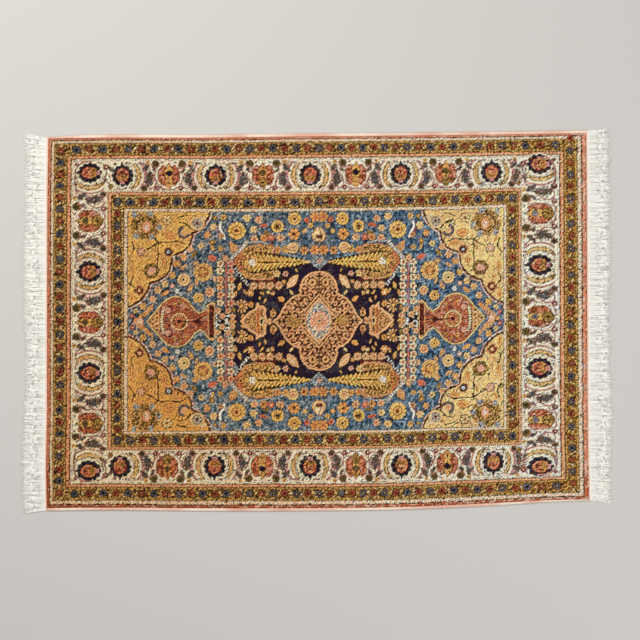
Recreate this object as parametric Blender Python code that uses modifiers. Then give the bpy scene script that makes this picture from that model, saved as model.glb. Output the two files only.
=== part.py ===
"""A hand-knotted Kayseri rug lying flat: the knotted pile, its two overcast side cords and its two fringed ends.

Metres, +Z up, +X along the rug's length, +Y across it towards the side called north. Every piece rests on z = 0,
and the whole rug's box is centred on the origin.
"""

import bpy
import numpy as np

# Half the length of the pile, end to end.
HALF_LENGTH = 0.776

# Heights of the pieces above the floor.
PILE_HEIGHT = 0.005
SELVEDGE_HEIGHT = 0.0046
FRINGE_HEIGHT = 0.0026

# Touching pieces are this far apart.
GAP = 0.0003

# How far each rounded rim is cut back.
PILE_RIM = 0.0012
SELVEDGE_RIM = 0.0016

# The flat-woven strip at each end, and the strands that leave it.
KILIM_WIDTH = 0.010
STRANDS_PER_END = 140
STRAND_REACH = 0.0615
STRAND_KNOT_AT = 0.60
STRAND_ROOT_WIDTH = 0.0046
STRAND_KNOT_WIDTH = 0.0056
STRAND_TIP_WIDTH = 0.0040
STRAND_LEAN = 0.0010
KNOT_LEAN = 0.0004
STRAND_UNEVEN = 0.0034

# How far the strand tips lean outward at each corner of the rug, how fast that fades towards the middle, and the
# share of it that the strand has at its knot.
CORNER_FLARE = {
    "west": {"south": 0.0090, "north": 0.0140},
    "east": {"south": 0.0130, "north": 0.0060},
}

FLARE_FADE = 8
FLARE_AT_KNOT = 0.45

# Where the long sides lie: place along the rug, distance of the north and the south edge from the centre line,
# and the width there of the overcast cord on each side, which turns under at two of the corners.
SIDES = {
    "along": (-HALF_LENGTH, -0.700, -0.624, -0.336, -0.049, 0.238, 0.526, 0.680, HALF_LENGTH),
    "north": (0.5290, 0.5345, 0.5366, 0.5368, 0.5402, 0.5428, 0.5460, 0.5484, 0.5497),
    "south": (0.5445, 0.5435, 0.5430, 0.5448, 0.5448, 0.5411, 0.5284, 0.5185, 0.5149),
    "north_cord": (0.0036, 0.0075, 0.0088, 0.0088, 0.0088, 0.0088, 0.0088, 0.0086, 0.0084),
    "south_cord": (0.0080, 0.0080, 0.0080, 0.0080, 0.0080, 0.0078, 0.0076, 0.0056, 0.0036),
}

# Where the pile ends: place across the rug, distance of the west and the east end from the middle, and how much
# longer or shorter the fringe lies there.
ENDS = {
    "across": (-0.545, -0.398, -0.283, -0.150, 0.004, 0.150, 0.349, 0.545),
    "west": (0.7770, 0.7787, 0.7764, 0.7762, 0.7761, 0.7757, 0.7750, 0.7724),
    "east": (0.7818, 0.7790, 0.7775, 0.7765, 0.7761, 0.7755, 0.7747, 0.7732),
    "west_reach": (0.000, 0.003, 0.002, -0.005, -0.001, 0.004, -0.003, 0.002),
    "east_reach": (-0.001, 0.001, 0.003, 0.000, -0.002, 0.001, 0.001, -0.002),
}

# Faces that differ by less than this are joined into one before a rim is rounded.
CAP_FLATNESS_DEG = 0.1

SIDE_STEPS = 44
END_STEPS = 14

# Each piece's height above the floor, how far its rim is rounded, its colour and its roughness.
PIECES = {
    "rug_pile": (PILE_HEIGHT, PILE_RIM, (0.30, 0.16, 0.09, 1.0), 0.85),
    "selvedge_north": (SELVEDGE_HEIGHT, SELVEDGE_RIM, (0.80, 0.52, 0.36, 1.0), 0.85),
    "selvedge_south": (SELVEDGE_HEIGHT, SELVEDGE_RIM, (0.78, 0.48, 0.32, 1.0), 0.85),
    "fringe_west": (FRINGE_HEIGHT, None, (0.82, 0.79, 0.71, 1.0), 0.90),
    "fringe_east": (FRINGE_HEIGHT, None, (0.82, 0.79, 0.71, 1.0), 0.90),
}


def eased(at, stations, values):
    """A smooth curve through a table: cubic pieces whose slope at each station is that of its two neighbours."""
    stations, values = np.asarray(stations, float), np.asarray(values, float)
    slopes = np.gradient(values, stations)
    at = np.clip(at, stations[0], stations[-1])
    i = np.clip(np.searchsorted(stations, at, side="right") - 1, 0, len(stations) - 2)
    step = stations[i + 1] - stations[i]
    t = (at - stations[i]) / step
    return (
        values[i] * (2 * t**3 - 3 * t**2 + 1)
        + values[i + 1] * (3 * t**2 - 2 * t**3)
        + slopes[i] * step * (t**3 - 2 * t**2 + t)
        + slopes[i + 1] * step * (t**3 - t**2)
    )


def side(column, along):
    return eased(along, SIDES["along"], SIDES[column])


def end(column, across):
    return eased(across, ENDS["across"], ENDS[column])


def pile_corners():
    """The pile's four corners, where its side edges meet its ends, counter-clockwise from south-west."""
    corners = {}
    for name, column, way in (("west", "west", -1), ("east", "east", 1)):
        for edge, up in (("south", -1), ("north", 1)):
            x = way * end(column, up * side(edge, way * HALF_LENGTH))
            y = up * (side(edge, x) - side(edge + "_cord", x) - GAP)
            corners[name, edge] = (float(x), float(y))
    return corners


def pile_outline():
    """Along the south edge, up the east end, back along the north edge and down the west end."""
    corner = pile_corners()
    south = np.linspace(corner["west", "south"][0], corner["east", "south"][0], SIDE_STEPS)
    north = np.linspace(corner["east", "north"][0], corner["west", "north"][0], SIDE_STEPS)
    east = np.linspace(corner["east", "south"][1], corner["east", "north"][1], END_STEPS)[1:-1]
    west = np.linspace(corner["west", "north"][1], corner["west", "south"][1], END_STEPS)[1:-1]
    return np.concatenate(
        (
            np.column_stack((south, -(side("south", south) - side("south_cord", south) - GAP))),
            np.column_stack((end("east", east), east)),
            np.column_stack((north, side("north", north) - side("north_cord", north) - GAP)),
            np.column_stack((-end("west", west), west)),
        )
    )


def selvedge_outline(edge, up):
    """A strip as wide as the cord, from end to end of the pile on one side."""
    corner = pile_corners()
    along = np.linspace(corner["west", edge][0], corner["east", edge][0], SIDE_STEPS)
    outer = np.column_stack((along, up * side(edge, along)))
    inner = np.column_stack((along, up * (side(edge, along) - side(edge + "_cord", along))))
    strip = np.concatenate((inner, outer[::-1]))
    return strip if up > 0 else strip[::-1]


def comb_outline(name, way, seed):
    """The kilim strip with its strands: each strand is six points, out along one side and back along the other.

    A strand's root lies on the strip's outer edge at an even pitch. Its tip is moved along the edge by the flare,
    which grows as a high power of the distance from the middle, and by a small lean of its own.
    """
    draw = np.random.default_rng(seed)
    low, high = -side("south", way * HALF_LENGTH), side("north", way * HALF_LENGTH)
    pitch = (high - low) / STRANDS_PER_END
    root = low + pitch * (np.arange(STRANDS_PER_END) + 0.5)
    from_middle = (root - (low + high) / 2) / ((high - low) / 2)
    flare = np.where(from_middle > 0, CORNER_FLARE[name]["north"], -CORNER_FLARE[name]["south"])
    flare = flare * np.abs(from_middle) ** FLARE_FADE
    tip = root + flare + draw.uniform(-STRAND_LEAN, STRAND_LEAN, STRANDS_PER_END)
    knot = root + flare * FLARE_AT_KNOT + draw.uniform(-KNOT_LEAN, KNOT_LEAN, STRANDS_PER_END)
    reach = STRAND_REACH + end(name + "_reach", root)
    reach = reach + draw.uniform(-STRAND_UNEVEN, STRAND_UNEVEN, STRANDS_PER_END)

    edge = end(name, root) + GAP + KILIM_WIDTH
    knot_x = edge + reach * STRAND_KNOT_AT
    tip_x = edge + reach
    half_root, half_knot, half_tip = STRAND_ROOT_WIDTH / 2, STRAND_KNOT_WIDTH / 2, STRAND_TIP_WIDTH / 2
    strands = np.stack(
        (
            np.column_stack((edge, root - half_root)),
            np.column_stack((knot_x, knot - half_knot)),
            np.column_stack((tip_x, tip - half_tip)),
            np.column_stack((tip_x, tip + half_tip)),
            np.column_stack((knot_x, knot + half_knot)),
            np.column_stack((edge, root + half_root)),
        ),
        axis=1,
    ).reshape(-1, 2)
    inner_y = np.linspace(high, low, END_STEPS)
    inner = np.column_stack((end(name, inner_y) + GAP, inner_y))
    corners = [(float(end(name, y)) + GAP + KILIM_WIDTH, y) for y in (low, high)]
    outline = np.concatenate((inner, corners[:1], strands, corners[1:]))
    outline[:, 0] *= way
    return outline if way > 0 else outline[::-1]


def finish_for(name, colour, roughness):
    """The named piece's own material."""
    material = bpy.data.materials.new(name)
    material.use_nodes = True
    shader = material.node_tree.nodes["Principled BSDF"]
    shader.inputs["Base Color"].default_value = colour
    shader.inputs["Roughness"].default_value = roughness
    shader.inputs["Metallic"].default_value = 0.0
    return material


def flat_piece(name, outline, collection):
    """A filled outline extruded to its height, lying on the floor, with its rim rounded where it has one."""
    height, rim, colour, roughness = PIECES[name]
    curve = bpy.data.curves.new(name, "CURVE")
    curve.dimensions = "2D"
    curve.fill_mode = "BOTH"
    curve.extrude = height / 2
    spline = curve.splines.new("POLY")
    spline.points.add(len(outline) - 1)
    points = np.zeros((len(outline), 4))
    points[:, :2] = outline
    points[:, 3] = 1.0
    spline.points.foreach_set("co", points.ravel())
    spline.use_cyclic_u = True
    curve.materials.append(finish_for(name, colour, roughness))
    piece = bpy.data.objects.new(name, curve)
    piece.location.z = height / 2
    collection.objects.link(piece)
    weld = piece.modifiers.new("closed caps", "WELD")
    weld.merge_threshold = 0.00001
    if rim:
        whole = piece.modifiers.new("one face to a cap", "DECIMATE")
        whole.decimate_type = "DISSOLVE"
        whole.angle_limit = np.radians(CAP_FLATNESS_DEG)
        bevel = piece.modifiers.new("rounded rim", "BEVEL")
        bevel.width = rim
        bevel.segments = 2
        bevel.limit_method = "ANGLE"
        bevel.angle_limit = np.radians(60)


def centre_of(outlines):
    """The middle of the box that holds every outline."""
    points = np.concatenate(outlines)
    return (points.min(axis=0) + points.max(axis=0)) / 2


def main():
    for old in list(bpy.data.objects):
        bpy.data.objects.remove(old, do_unlink=True)
    rug = bpy.data.collections.new("kayseri_rug")
    bpy.context.scene.collection.children.link(rug)

    outlines = {
        "rug_pile": pile_outline(),
        "selvedge_north": selvedge_outline("north", 1),
        "selvedge_south": selvedge_outline("south", -1),
        "fringe_west": comb_outline("west", -1, seed=11),
        "fringe_east": comb_outline("east", 1, seed=23),
    }
    middle = centre_of(list(outlines.values()))
    for name, outline in outlines.items():
        flat_piece(name, outline - middle, rug)


main()
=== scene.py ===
"""A hand-knotted Kayseri rug lying flat, looked at from straight above.

The design is drawn with numpy on squared paper, one cell to a knot, from flowers, leaves, bands and outlines
whose shapes are formulas. The pile takes its colours from that chart, and the overcast side cords and the
fringes are modelled strand by strand. Lengths are metres unless a name says squares: a square is one square
of the paper.
"""

import math
from types import SimpleNamespace

import bpy
import numpy as np
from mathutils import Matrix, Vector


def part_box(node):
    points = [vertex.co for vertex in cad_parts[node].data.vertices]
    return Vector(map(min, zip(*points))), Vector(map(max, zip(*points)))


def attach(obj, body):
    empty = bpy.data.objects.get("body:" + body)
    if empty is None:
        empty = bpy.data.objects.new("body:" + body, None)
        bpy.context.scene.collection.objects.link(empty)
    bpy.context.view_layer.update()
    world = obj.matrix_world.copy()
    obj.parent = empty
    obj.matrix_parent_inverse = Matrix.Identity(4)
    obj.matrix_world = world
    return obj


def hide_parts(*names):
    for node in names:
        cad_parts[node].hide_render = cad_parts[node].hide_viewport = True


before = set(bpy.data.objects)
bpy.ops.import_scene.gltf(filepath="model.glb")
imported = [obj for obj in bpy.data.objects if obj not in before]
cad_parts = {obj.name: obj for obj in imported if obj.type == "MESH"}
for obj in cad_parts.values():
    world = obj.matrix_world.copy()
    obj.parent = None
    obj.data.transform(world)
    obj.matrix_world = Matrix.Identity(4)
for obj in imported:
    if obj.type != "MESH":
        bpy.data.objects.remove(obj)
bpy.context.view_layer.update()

# The paper.

# One square of the drawing, and the half sizes of the whole rug and of its field, in squares.
SQUARE = 0.002875
HALF_LONG = 268.3
HALF_WIDE = 190.2
FIELD_LONG = 187.5
FIELD_WIDE = 109.4

# Faces of the pile's top along and across, and knots to a face each way.
FACES_LONG = 370
FACES_WIDE = 258
KNOTS_TO_A_FACE = 6

# Yarn colours, as seen on the rug, red green blue from 0 to 255, and those of the undyed parts.
BACK = (176, 158, 132)
CORD_PALE = (238, 212, 190)
CORD_PINK = (222, 164, 138)
WARP = (254, 250, 240)
STRIP = (238, 204, 182)
YARN = {
    "ivory": (238, 209, 182),
    "cream": (240, 202, 162),
    "white": (248, 228, 212),
    "salmon": (200, 120, 90),
    "pink": (218, 154, 130),
    "mauve": (146, 100, 96),
    "maroon": (82, 34, 26),
    "wine": (114, 46, 40),
    "red": (142, 70, 52),
    "brick": (122, 60, 42),
    "coral": (190, 100, 74),
    "rust": (170, 90, 58),
    "orange": (208, 140, 82),
    "peach": (222, 162, 118),
    "gold": (204, 150, 86),
    "yellow": (228, 172, 90),
    "straw": (228, 180, 126),
    "tan": (186, 134, 88),
    "brown": (92, 54, 30),
    "bark": (50, 30, 18),
    "olive": (124, 94, 46),
    "moss": (78, 66, 38),
    "guard": (66, 46, 20),
    "black": (22, 15, 15),
    "navy": (32, 25, 44),
    "smoke": (66, 64, 68),
    "slate": (92, 88, 90),
    "sky": (144, 148, 148),
    "blue": (80, 98, 108),
    "teal": (48, 72, 82),
    "grey": (154, 136, 120),
}


def ease(t):
    """The smooth step 3 t^2 - 2 t^3, held at its ends."""
    t = np.clip(t, 0.0, 1.0)
    return t * t * (3.0 - 2.0 * t)


def mottle(rows, columns, size, seed):
    """Smooth random values from -1 to 1: random numbers on a coarse grid, eased between its points."""
    draw = np.random.default_rng(seed)
    high, wide = int(rows / size) + 3, int(columns / size) + 3
    grid = draw.uniform(-1.0, 1.0, (high, wide)).astype(np.float32)
    y, x = np.arange(rows) / size, np.arange(columns) / size
    row, column = y.astype(int), x.astype(int)
    down = ease(y - row)[:, None].astype(np.float32)
    over = ease(x - column)[None, :].astype(np.float32)
    left = grid[row][:, column] * (1 - down) + grid[row + 1][:, column] * down
    right = grid[row][:, column + 1] * (1 - down) + grid[row + 1][:, column + 1] * down
    return left * (1 - over) + right * over


class Chart:
    """The drawing: a colour for each knot, where each knot's centre is, in squares from the rug's middle, and
    a fine and a coarse unevenness from -1 to 1 that the motifs are broken up with.

    The places carry a small smooth wobble, so that every outline drawn from them runs as unevenly as in a
    hand-knotted rug.
    """

    def __init__(self):
        rows, columns = FACES_WIDE * KNOTS_TO_A_FACE, FACES_LONG * KNOTS_TO_A_FACE
        self.along = ((np.arange(columns) + 0.5) / columns * 2 - 1).astype(np.float32) * HALF_LONG
        self.across = ((np.arange(rows) + 0.5) / rows * 2 - 1).astype(np.float32) * HALF_WIDE
        self.x = self.along[None, :] + 0.40 * mottle(rows, columns, 9, 1)
        self.x = self.x + 0.24 * mottle(rows, columns, 3.4, 2)
        self.y = self.across[:, None] + 0.40 * mottle(rows, columns, 9, 3)
        self.y = self.y + 0.24 * mottle(rows, columns, 3.4, 4)
        self.colour = np.zeros((rows, columns, 3), np.float32)
        self.fine = mottle(rows, columns, 3.6, 5)
        self.coarse = mottle(rows, columns, 10, 6)

    def near(self, x, y, reach):
        """The knots within reach of a point, and their places from it."""
        first, last = np.searchsorted(self.along, (x - reach, x + reach))
        low, high = np.searchsorted(self.across, (y - reach, y + reach))
        part = (slice(low, high), slice(first, last))
        knots = SimpleNamespace(colour=self.colour[part], fine=self.fine[part], coarse=self.coarse[part])
        return knots, self.x[part] - x, self.y[part] - y


def dye(knots, where, yarn, tone=1.0):
    """Knots where the mask holds take that yarn, a little lighter or darker by the tone."""
    knots.colour[where] = np.array(YARN[yarn], np.float32) * tone


def dye_in(knots, region, *layers):
    """Yarn over yarn in a region: each layer is a yarn, its tone and, unless it fills the region, where."""
    for yarn, tone, *where in layers:
        dye(knots, region & where[0] if where else region, yarn, tone)


# The motifs by name, each with its reach.
MOTIFS = {}


def reach(size):
    """Lists a motif by its name, with how far it goes from its middle before it is sized."""

    def listed(motif):
        MOTIFS[motif.__name__] = motif, size
        return motif

    return listed


def place(chart, look, x, y, size=1.0, turn=0.0, flip=1, **more):
    """Draws a motif at a point. The look is its name and its yarns, in the order of its own arguments. Its
    own x runs at turn degrees, and flip -1 mirrors it about that line."""
    name, *yarns = look.split()
    motif, far = MOTIFS[name]
    knots, dx, dy = chart.near(x, y, far * size)
    if knots.colour.size:
        c, s = math.cos(math.radians(turn)), math.sin(math.radians(turn))
        motif(knots, (dx * c + dy * s) / size, (dy * c - dx * s) / size * flip, *yarns, **more)


def four_ways(chart, look, x, y, turn=0.0, **more):
    """The motif in all four quarters, mirrored about both middle lines."""
    for way in (1, -1):
        for up in (1, -1):
            bearing = turn if way > 0 else 180.0 - turn
            place(chart, look, way * x, up * y, turn=bearing * up, flip=way * up, **more)


# Outlines and lines.

ARC_STEPS = 9


def arc(start, finish, sag):
    """Points from start to finish on a curve that bows to the left of the way by sag: a parabola over the
    chord."""
    (x0, y0), (x1, y1) = start, finish
    long = math.hypot(x1 - x0, y1 - y0)
    t = np.linspace(0.0, 1.0, ARC_STEPS)
    bow = 4 * sag * t * (1 - t)
    x = x0 + (x1 - x0) * t - (y1 - y0) / long * bow
    return np.column_stack((x, y0 + (y1 - y0) * t + (x1 - x0) / long * bow))


def flowing(points, steps):
    """A smooth line through the points: cubic pieces whose slope at each point is that of its two
    neighbours."""
    points = np.asarray(points, float)
    slope = np.gradient(points, axis=0)
    t = np.linspace(0.0, 1.0, steps, endpoint=False)[None, :, None]
    a, b, da, db = points[:-1, None], points[1:, None], slope[:-1, None], slope[1:, None]
    curve = a * (2 * t**3 - 3 * t**2 + 1) + b * (3 * t**2 - 2 * t**3)
    curve = curve + da * (t**3 - 2 * t**2 + t) + db * (t**3 - t**2)
    return np.concatenate((curve.reshape(-1, 2), points[-1:]))


def from_line(x, y, points):
    """How far each place is from a line of points: the least distance to its straight pieces."""
    least = np.full(x.shape, 1e9, np.float32)
    for (x0, y0), (x1, y1) in zip(points[:-1], points[1:]):
        ux, uy = x1 - x0, y1 - y0
        t = np.clip(((x - x0) * ux + (y - y0) * uy) / (ux * ux + uy * uy + 1e-9), 0.0, 1.0)
        np.minimum(least, np.hypot(x - x0 - t * ux, y - y0 - t * uy), out=least)
    return least


def within(x, y, points):
    """Where a place lies inside a closed outline: a ray along x crosses it an odd number of times."""
    inside = np.zeros(x.shape, bool)
    for (x0, y0), (x1, y1) in zip(points, np.roll(points, -1, axis=0)):
        if y0 != y1:
            inside ^= ((y0 > y) != (y1 > y)) & (x < (x1 - x0) * (y - y0) / (y1 - y0) + x0)
    return inside


def line(chart, points, width, yarn, tone=1.0):
    """A drawn line of that width, in squares."""
    points = np.asarray(points, float)
    middle = (points.min(axis=0) + points.max(axis=0)) / 2
    half = np.ptp(points, axis=0).max() / 2
    part, dx, dy = chart.near(*middle, half + width)
    if part.colour.size:
        dye(part, from_line(dx, dy, points - middle) < width / 2, yarn, tone)


def four_lines(chart, points, width, yarn, tone=1.0):
    """The same line in all four quarters."""
    points = np.asarray(points, float)
    for way in (1, -1):
        for up in (1, -1):
            line(chart, points * (way, up), width, yarn, tone)


# Squares of the curls' lattice each way before it repeats.
PHASES = 64


def curls(x, y, cell, pitch, seed):
    """The strokes of small spirals, from 1 in a stroke to -1 between: cos(2 pi r / pitch - a), where r and
    a are taken from the middle of each square of a lattice, and a is turned and mirrored at random from
    square to square."""
    column = np.floor(x / cell).astype(int)
    row = np.floor(y / cell + 0.5 * (column % 2)).astype(int)
    dx = x - (column + 0.5) * cell
    dy = y - (row + 0.5 - 0.5 * (column % 2)) * cell
    phases = np.random.default_rng(seed).uniform(0, 2 * math.pi, (PHASES, PHASES)).astype(np.float32)
    phase = phases[column % PHASES, row % PHASES]
    hand = np.where(phase > 3, 1, -1)
    return np.cos(np.hypot(dx, dy) * 2 * math.pi / pitch - hand * np.arctan2(dy, dx) + phase)


# Flowers and leaves. Each is drawn about its own middle; a size of 1 makes it the size stated in squares.


@reach(1.35)
def blossom(part, x, y, petal, heart, rim=None, petals=6, eye=0.34):
    """A small round flower of radius 1: its edge r = 0.96 + 0.07 cos(n a) is ragged, its heart darker."""
    r, a = np.hypot(x, y), np.arctan2(y, x)
    edge = 0.96 + 0.07 * np.cos(petals * a) + 0.16 * part.fine
    if rim:
        dye(part, r < edge + 0.26, rim)
    dye_in(part, r < edge, (petal, 0.94), (petal, 1.12, part.fine > 0.10),
           (petal, 0.62, (r > eye + 0.1) & (np.cos(petals * a) < -0.65)))
    dye(part, r < eye * (1 + 0.4 * part.fine), heart)


@reach(1.3)
def rosette(part, x, y, petal, ring, heart, petals=12):
    """A many-petalled flower of radius 1: short petals, a thin dark ring, a paler middle, a dark heart."""
    fine = part.fine
    r, a = np.hypot(x, y), np.arctan2(y, x)
    edge = 0.90 + 0.11 * np.abs(np.cos(petals / 2 * a)) + 0.06 * fine
    dye_in(part, r < edge, (petal, 1.0), (ring, 0.80, (r > 0.60) & (np.abs(np.cos(petals / 2 * a)) < 0.30)),
           ("straw", 1.04, fine > 0.40))
    dye(part, np.abs(r - 0.52) < 0.07 + 0.07 * fine, ring, 0.70)
    dye(part, (r < 0.44) & (fine < 0.3), ring, 1.06)
    dye(part, r < 0.24 + 0.08 * fine, heart)


@reach(1.1)
def leaf(part, x, y, body, rib="brown", rim=None, width=0.38):
    """A pointed leaf along x from -1 to 1: |y| < w (1 - x^2), with a rib and, where given, a rim."""
    half = width * (1 - x * x) + 0.05 * part.fine
    inside = np.abs(x) < 1
    if rim:
        dye(part, inside & (np.abs(y) < half + 0.12), rim)
    dye_in(part, inside & (np.abs(y) < half), (body, 1.0), (body, 1.18, part.fine > 0.35))
    dye(part, (np.abs(y) < 0.075) & (np.abs(x + 0.1) < 0.5), rib)


@reach(1.2)
def bud(part, x, y, cup, tip, rim=None):
    """A bud along x: a round cup behind and a pointed tip in front, the tip lighter."""
    half = np.where(x < 0, 0.62 * np.sqrt(np.clip(1 - (x / 0.9) ** 2, 0, 1)), 0.62 * (1 - x / 1.05))
    if rim:
        dye(part, (x > -1.0) & (x < 1.1) & (np.abs(y) < half + 0.14), rim)
    body = (x > -0.88) & (x < 1.0) & (np.abs(y) < half)
    dye_in(part, body, (cup, 1.0), (cup, 1.15, part.fine > 0.3), ("brown", 1.2, part.fine < -0.5))
    dye(part, (x > 0.15) & (x < 0.9) & (np.abs(y) < half * 0.66), tip)


@reach(1.25)
def fan(part, x, y):
    """Most of a round flower, open away from x: rays on a dark ground, paler at their ends, and a cup."""
    r, a = np.hypot(x, y), np.arctan2(y, x)
    open_side = np.abs(a) < 2.5
    dye(part, (r < 1.10) & open_side, "bark")
    petal = open_side & (np.cos(10 * a) > 0.0) & (r > 0.42) & (r < 1.0)
    dye_in(part, petal, ("tan", 0.92), ("peach", 0.98, r > 0.70))
    dye(part, r < 0.38, "wine")
    dye(part, r < 0.24, "gold")


@reach(1.0)
def arc_leaf(part, x, y):
    """A curled leaf: a ring about (0.2, 0), open within 57 degrees of x, dark outside and light within."""
    r, a = np.hypot(x - 0.2, y), np.arctan2(y, x - 0.2)
    turn = np.abs(a) > 1.0
    dye_in(part, turn, ("slate", 1.0, np.abs(r - 0.66) < 0.22 + 0.05 * part.fine),
           ("wine", 1.0, (r > 0.74) & (r < 0.86) & (part.fine > 0)), ("peach", 1.0, r < 0.46))


# The border's palmettes.


@reach(17)
def dark_palmette(part, x, y):
    """The border's dark palmette, 22 squares wide: twelve round lobes about a coral and gold heart, and a
    finial along +y."""
    fine, coarse = part.fine, part.coarse
    a = np.arctan2(y, x)
    oval = np.hypot(x / 11.2, (y - 0.2) / 12.0)
    lobes = 0.84 + 0.17 * np.sqrt(np.abs(np.cos(6 * a)))
    body = oval < lobes + 0.03 * fine
    finial = (y > 9) & (np.abs(x) < 0.42 * (15.6 - y))
    dye(part, oval < lobes + 0.07, "ivory", 1.02)
    dye_in(part, body | finial, ("navy", 0.95), ("black", 0.9, fine < -0.20))
    dye(part, body & (oval > 0.70) & (fine > 0.55), "slate", 0.72)
    heart = np.hypot(x / 6.2, (y - 0.3) / 7.4) + 0.08 * fine
    dye_in(part, heart < 1.0, ("coral", 0.98), ("orange", 0.92, y < -0.4), ("wine", 1.1, fine < -0.30),
           ("maroon", 1.2, (coarse < -0.35) & (fine < 0.2)), ("peach", 0.98, (y > -0.4) & (fine > 0.42)),
           ("olive", 1.1, (y < -0.4) & (fine > 0.30)))
    dye(part, (np.abs(heart - 0.62) < 0.10) & (fine > 0.0), "bark")
    dye(part, np.hypot(x, y - 3.0) < 1.3, "wine")
    dye(part, (np.abs(x) < 2.2) & (np.abs(y + 7.6) < 1.5), "mauve", 1.15)
    dye(part, (np.abs(x) < 5.5) & (y < -12.4) & (y > -14.4) & (fine > 0.2), "black")


@reach(17.5)
def rust_palmette(part, x, y, dot, seed, crown, dot_at, seed_width):
    """The border's rust palmette: two scalloped rust wings, gold between them, a crown above, a dark dot
    and a seed, and broken mauve stems round its sides."""
    fine, coarse = part.fine, part.coarse
    stem = np.hypot(x / 14.4, (y + 0.6) / 12.6)
    dye(part, (np.abs(stem - 1) < 0.05) & (np.abs(x) > 6.5) & (coarse > 0.0), "mauve", 1.15)
    dye(part, (np.abs(stem - 0.92) < 0.025) & (np.abs(x) > 7.5) & (coarse < -0.2), "maroon", 1.3)
    wing_x, wing_y = (np.abs(x) - 5.0) / 6.0, (y - 0.4) / 10.4
    wing = np.hypot(wing_x, wing_y) - 0.12 * np.abs(np.sin(3.5 * np.arctan2(wing_y, wing_x))) + 0.08 * fine
    dye(part, (wing < 0.99) & (fine > -0.4), "brown", 1.1)
    dye_in(part, wing < 0.90, ("rust", 1.0), ("salmon", 1.0, fine > 0.40), ("wine", 0.95, fine < -0.24))
    dye_in(part, wing < 0.80, ("pink", 0.92, (coarse > 0.50) & (fine > -0.2)), ("brown", 1.2, coarse < -0.35))
    veins = np.abs(np.sin(5.0 * np.arctan2(wing_y, wing_x) + 2.0 * wing)) < 0.28
    dye(part, (wing < 0.86) & (wing > 0.35) & veins & (fine < 0.3), "maroon")
    middle = np.abs(x) < 1.9 + 1.5 * np.abs(np.sin((y + 3.0) * 0.45))
    dye(part, (np.abs(x) < 2.7 + 1.5 * np.abs(np.sin((y + 3.0) * 0.45))) & (np.abs(y) < 9.4), "maroon", 1.1)
    dye_in(part, middle & (np.abs(y) < 9), (crown, 0.98), ("yellow", 1.0, fine > 0.3))
    tip = (y > 4.6) & (y < 13.4) & (np.abs(x) < 0.50 * (13.8 - y))
    dye(part, (y > 4.4) & (y < 14.6) & (np.abs(x) < 0.55 * (15.2 - y)), "brown")
    dye_in(part, tip, (crown, 1.0), ("olive", 0.9, fine > 0.2))
    dye(part, np.hypot(x, y - dot_at) < 3.4 + 0.5 * fine, "bark", 1.1)
    dye(part, np.hypot(x, y - dot_at) < 2.6 + 0.5 * fine, dot, 1.1)
    dye(part, np.hypot(x, y - dot_at) < 1.0, "navy")
    drop = np.hypot(x / seed_width, (y + 7.6) / 5.2)
    dye(part, drop < 1.18, "bark", 1.2)
    dye(part, drop < 1 + 0.1 * fine, seed)
    dye_in(part, drop < 0.9, ("moss" if seed == "olive" else "rust", 1.0, fine < -0.25),
           ("gold", 0.9, fine > 0.45))
    dye(part, drop < 0.26, "bark")


@reach(24)
def sickle(part, x, y):
    """The C-shaped leaf on the +x side of a dark palmette: rings, and a gold crescent between circles."""
    fine, coarse = part.fine, part.coarse
    r = np.hypot(x, y * 1.04)
    side = (x > 2.5) & (np.abs(y) < 14.6)
    dye_in(part, side, ("mauve", 1.22, (r < 23.3) & (r > 21.3) & (y > -13.5) & (coarse > -0.7)),
           ("ivory", 0.98, (r < 21.4) & (r > 18.8)),
           ("wine", 1.2, (np.abs(r - 18.5) < 0.6) & (np.abs(y) < 13) & (fine > -0.3)))
    hollow = np.hypot(x + 4.2, y * 1.04)
    dye(part, side & (r < 18.2) & (hollow > 18.2) & (np.abs(y) < 12.4), "brown")
    crescent = side & (r < 17.8) & (hollow > 19.0 + 0.5 * fine) & (np.abs(y) < 11.8)
    dye_in(part, crescent, ("gold", 0.98), ("straw", 1.0, fine > 0.20), ("olive", 1.0, fine < -0.35))
    dye(part, side & (np.abs(r - 13.3) < 0.9) & (fine > 0.1) & (np.abs(y) < 12), "bark", 1.2)
    cap = side & (y > 12.2) & (y < 14.8) & (r > 12.5)
    dye(part, cap & (fine > -0.1), "mauve", 0.9)
    dye(part, side & (y < -11.8) & (y > -13.6) & (r > 11) & (r < 19) & (fine > -0.3), "mauve", 0.85)


@reach(1.25)
def split_leaf(part, x, y, body="slate"):
    """A curled leaf along x: the lens |y| < 0.4 (1 - x^2), bent by 0.25 x^2, outlined, flecked with green
    and pink."""
    fine, coarse = part.fine, part.coarse
    y = y - 0.25 * x * x
    half = 0.42 * (1 - x * x) + 0.12 * fine
    dye(part, (np.abs(x) < 1.1) & (np.abs(y) < half + 0.15) & (fine > -0.1), "maroon", 1.25)
    inside = (np.abs(x) < 0.97) & (np.abs(y) < half)
    dye_in(part, inside, (body, 0.84), ("teal", 0.95, coarse < -0.1),
           ("olive", 0.80, (coarse < 0.2) & (fine > 0.1)), ("sky", 0.80, fine > 0.80),
           ("moss", 0.95, fine < -0.55), ("mauve", 0.9, coarse > 0.75))


# The border.

# How far each band of the border reaches in from the rug's edge, in squares.
BANDS = {
    "edge": 3.0,
    "edge_line": 4.1,
    "outer_cord": 7.0,
    "outer_cord_line": 7.7,
    "outer_gold": 8.7,
    "outer_guard": 18.8,
    "outer_inner_gold": 19.7,
    "outer_line": 20.4,
    "outer_salmon": 23.9,
    "main_line": 24.7,
    "main": 58.5,
    "dashes": 59.9,
    "inner_salmon": 63.7,
    "inner_line": 64.5,
    "inner_gold": 65.5,
    "inner_guard": 75.1,
    "inner_guard_gold": 76.0,
    "inner_cord_line": 76.8,
    "inner_cord": 80.0,
    "field_line": 80.9,
}


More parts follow.
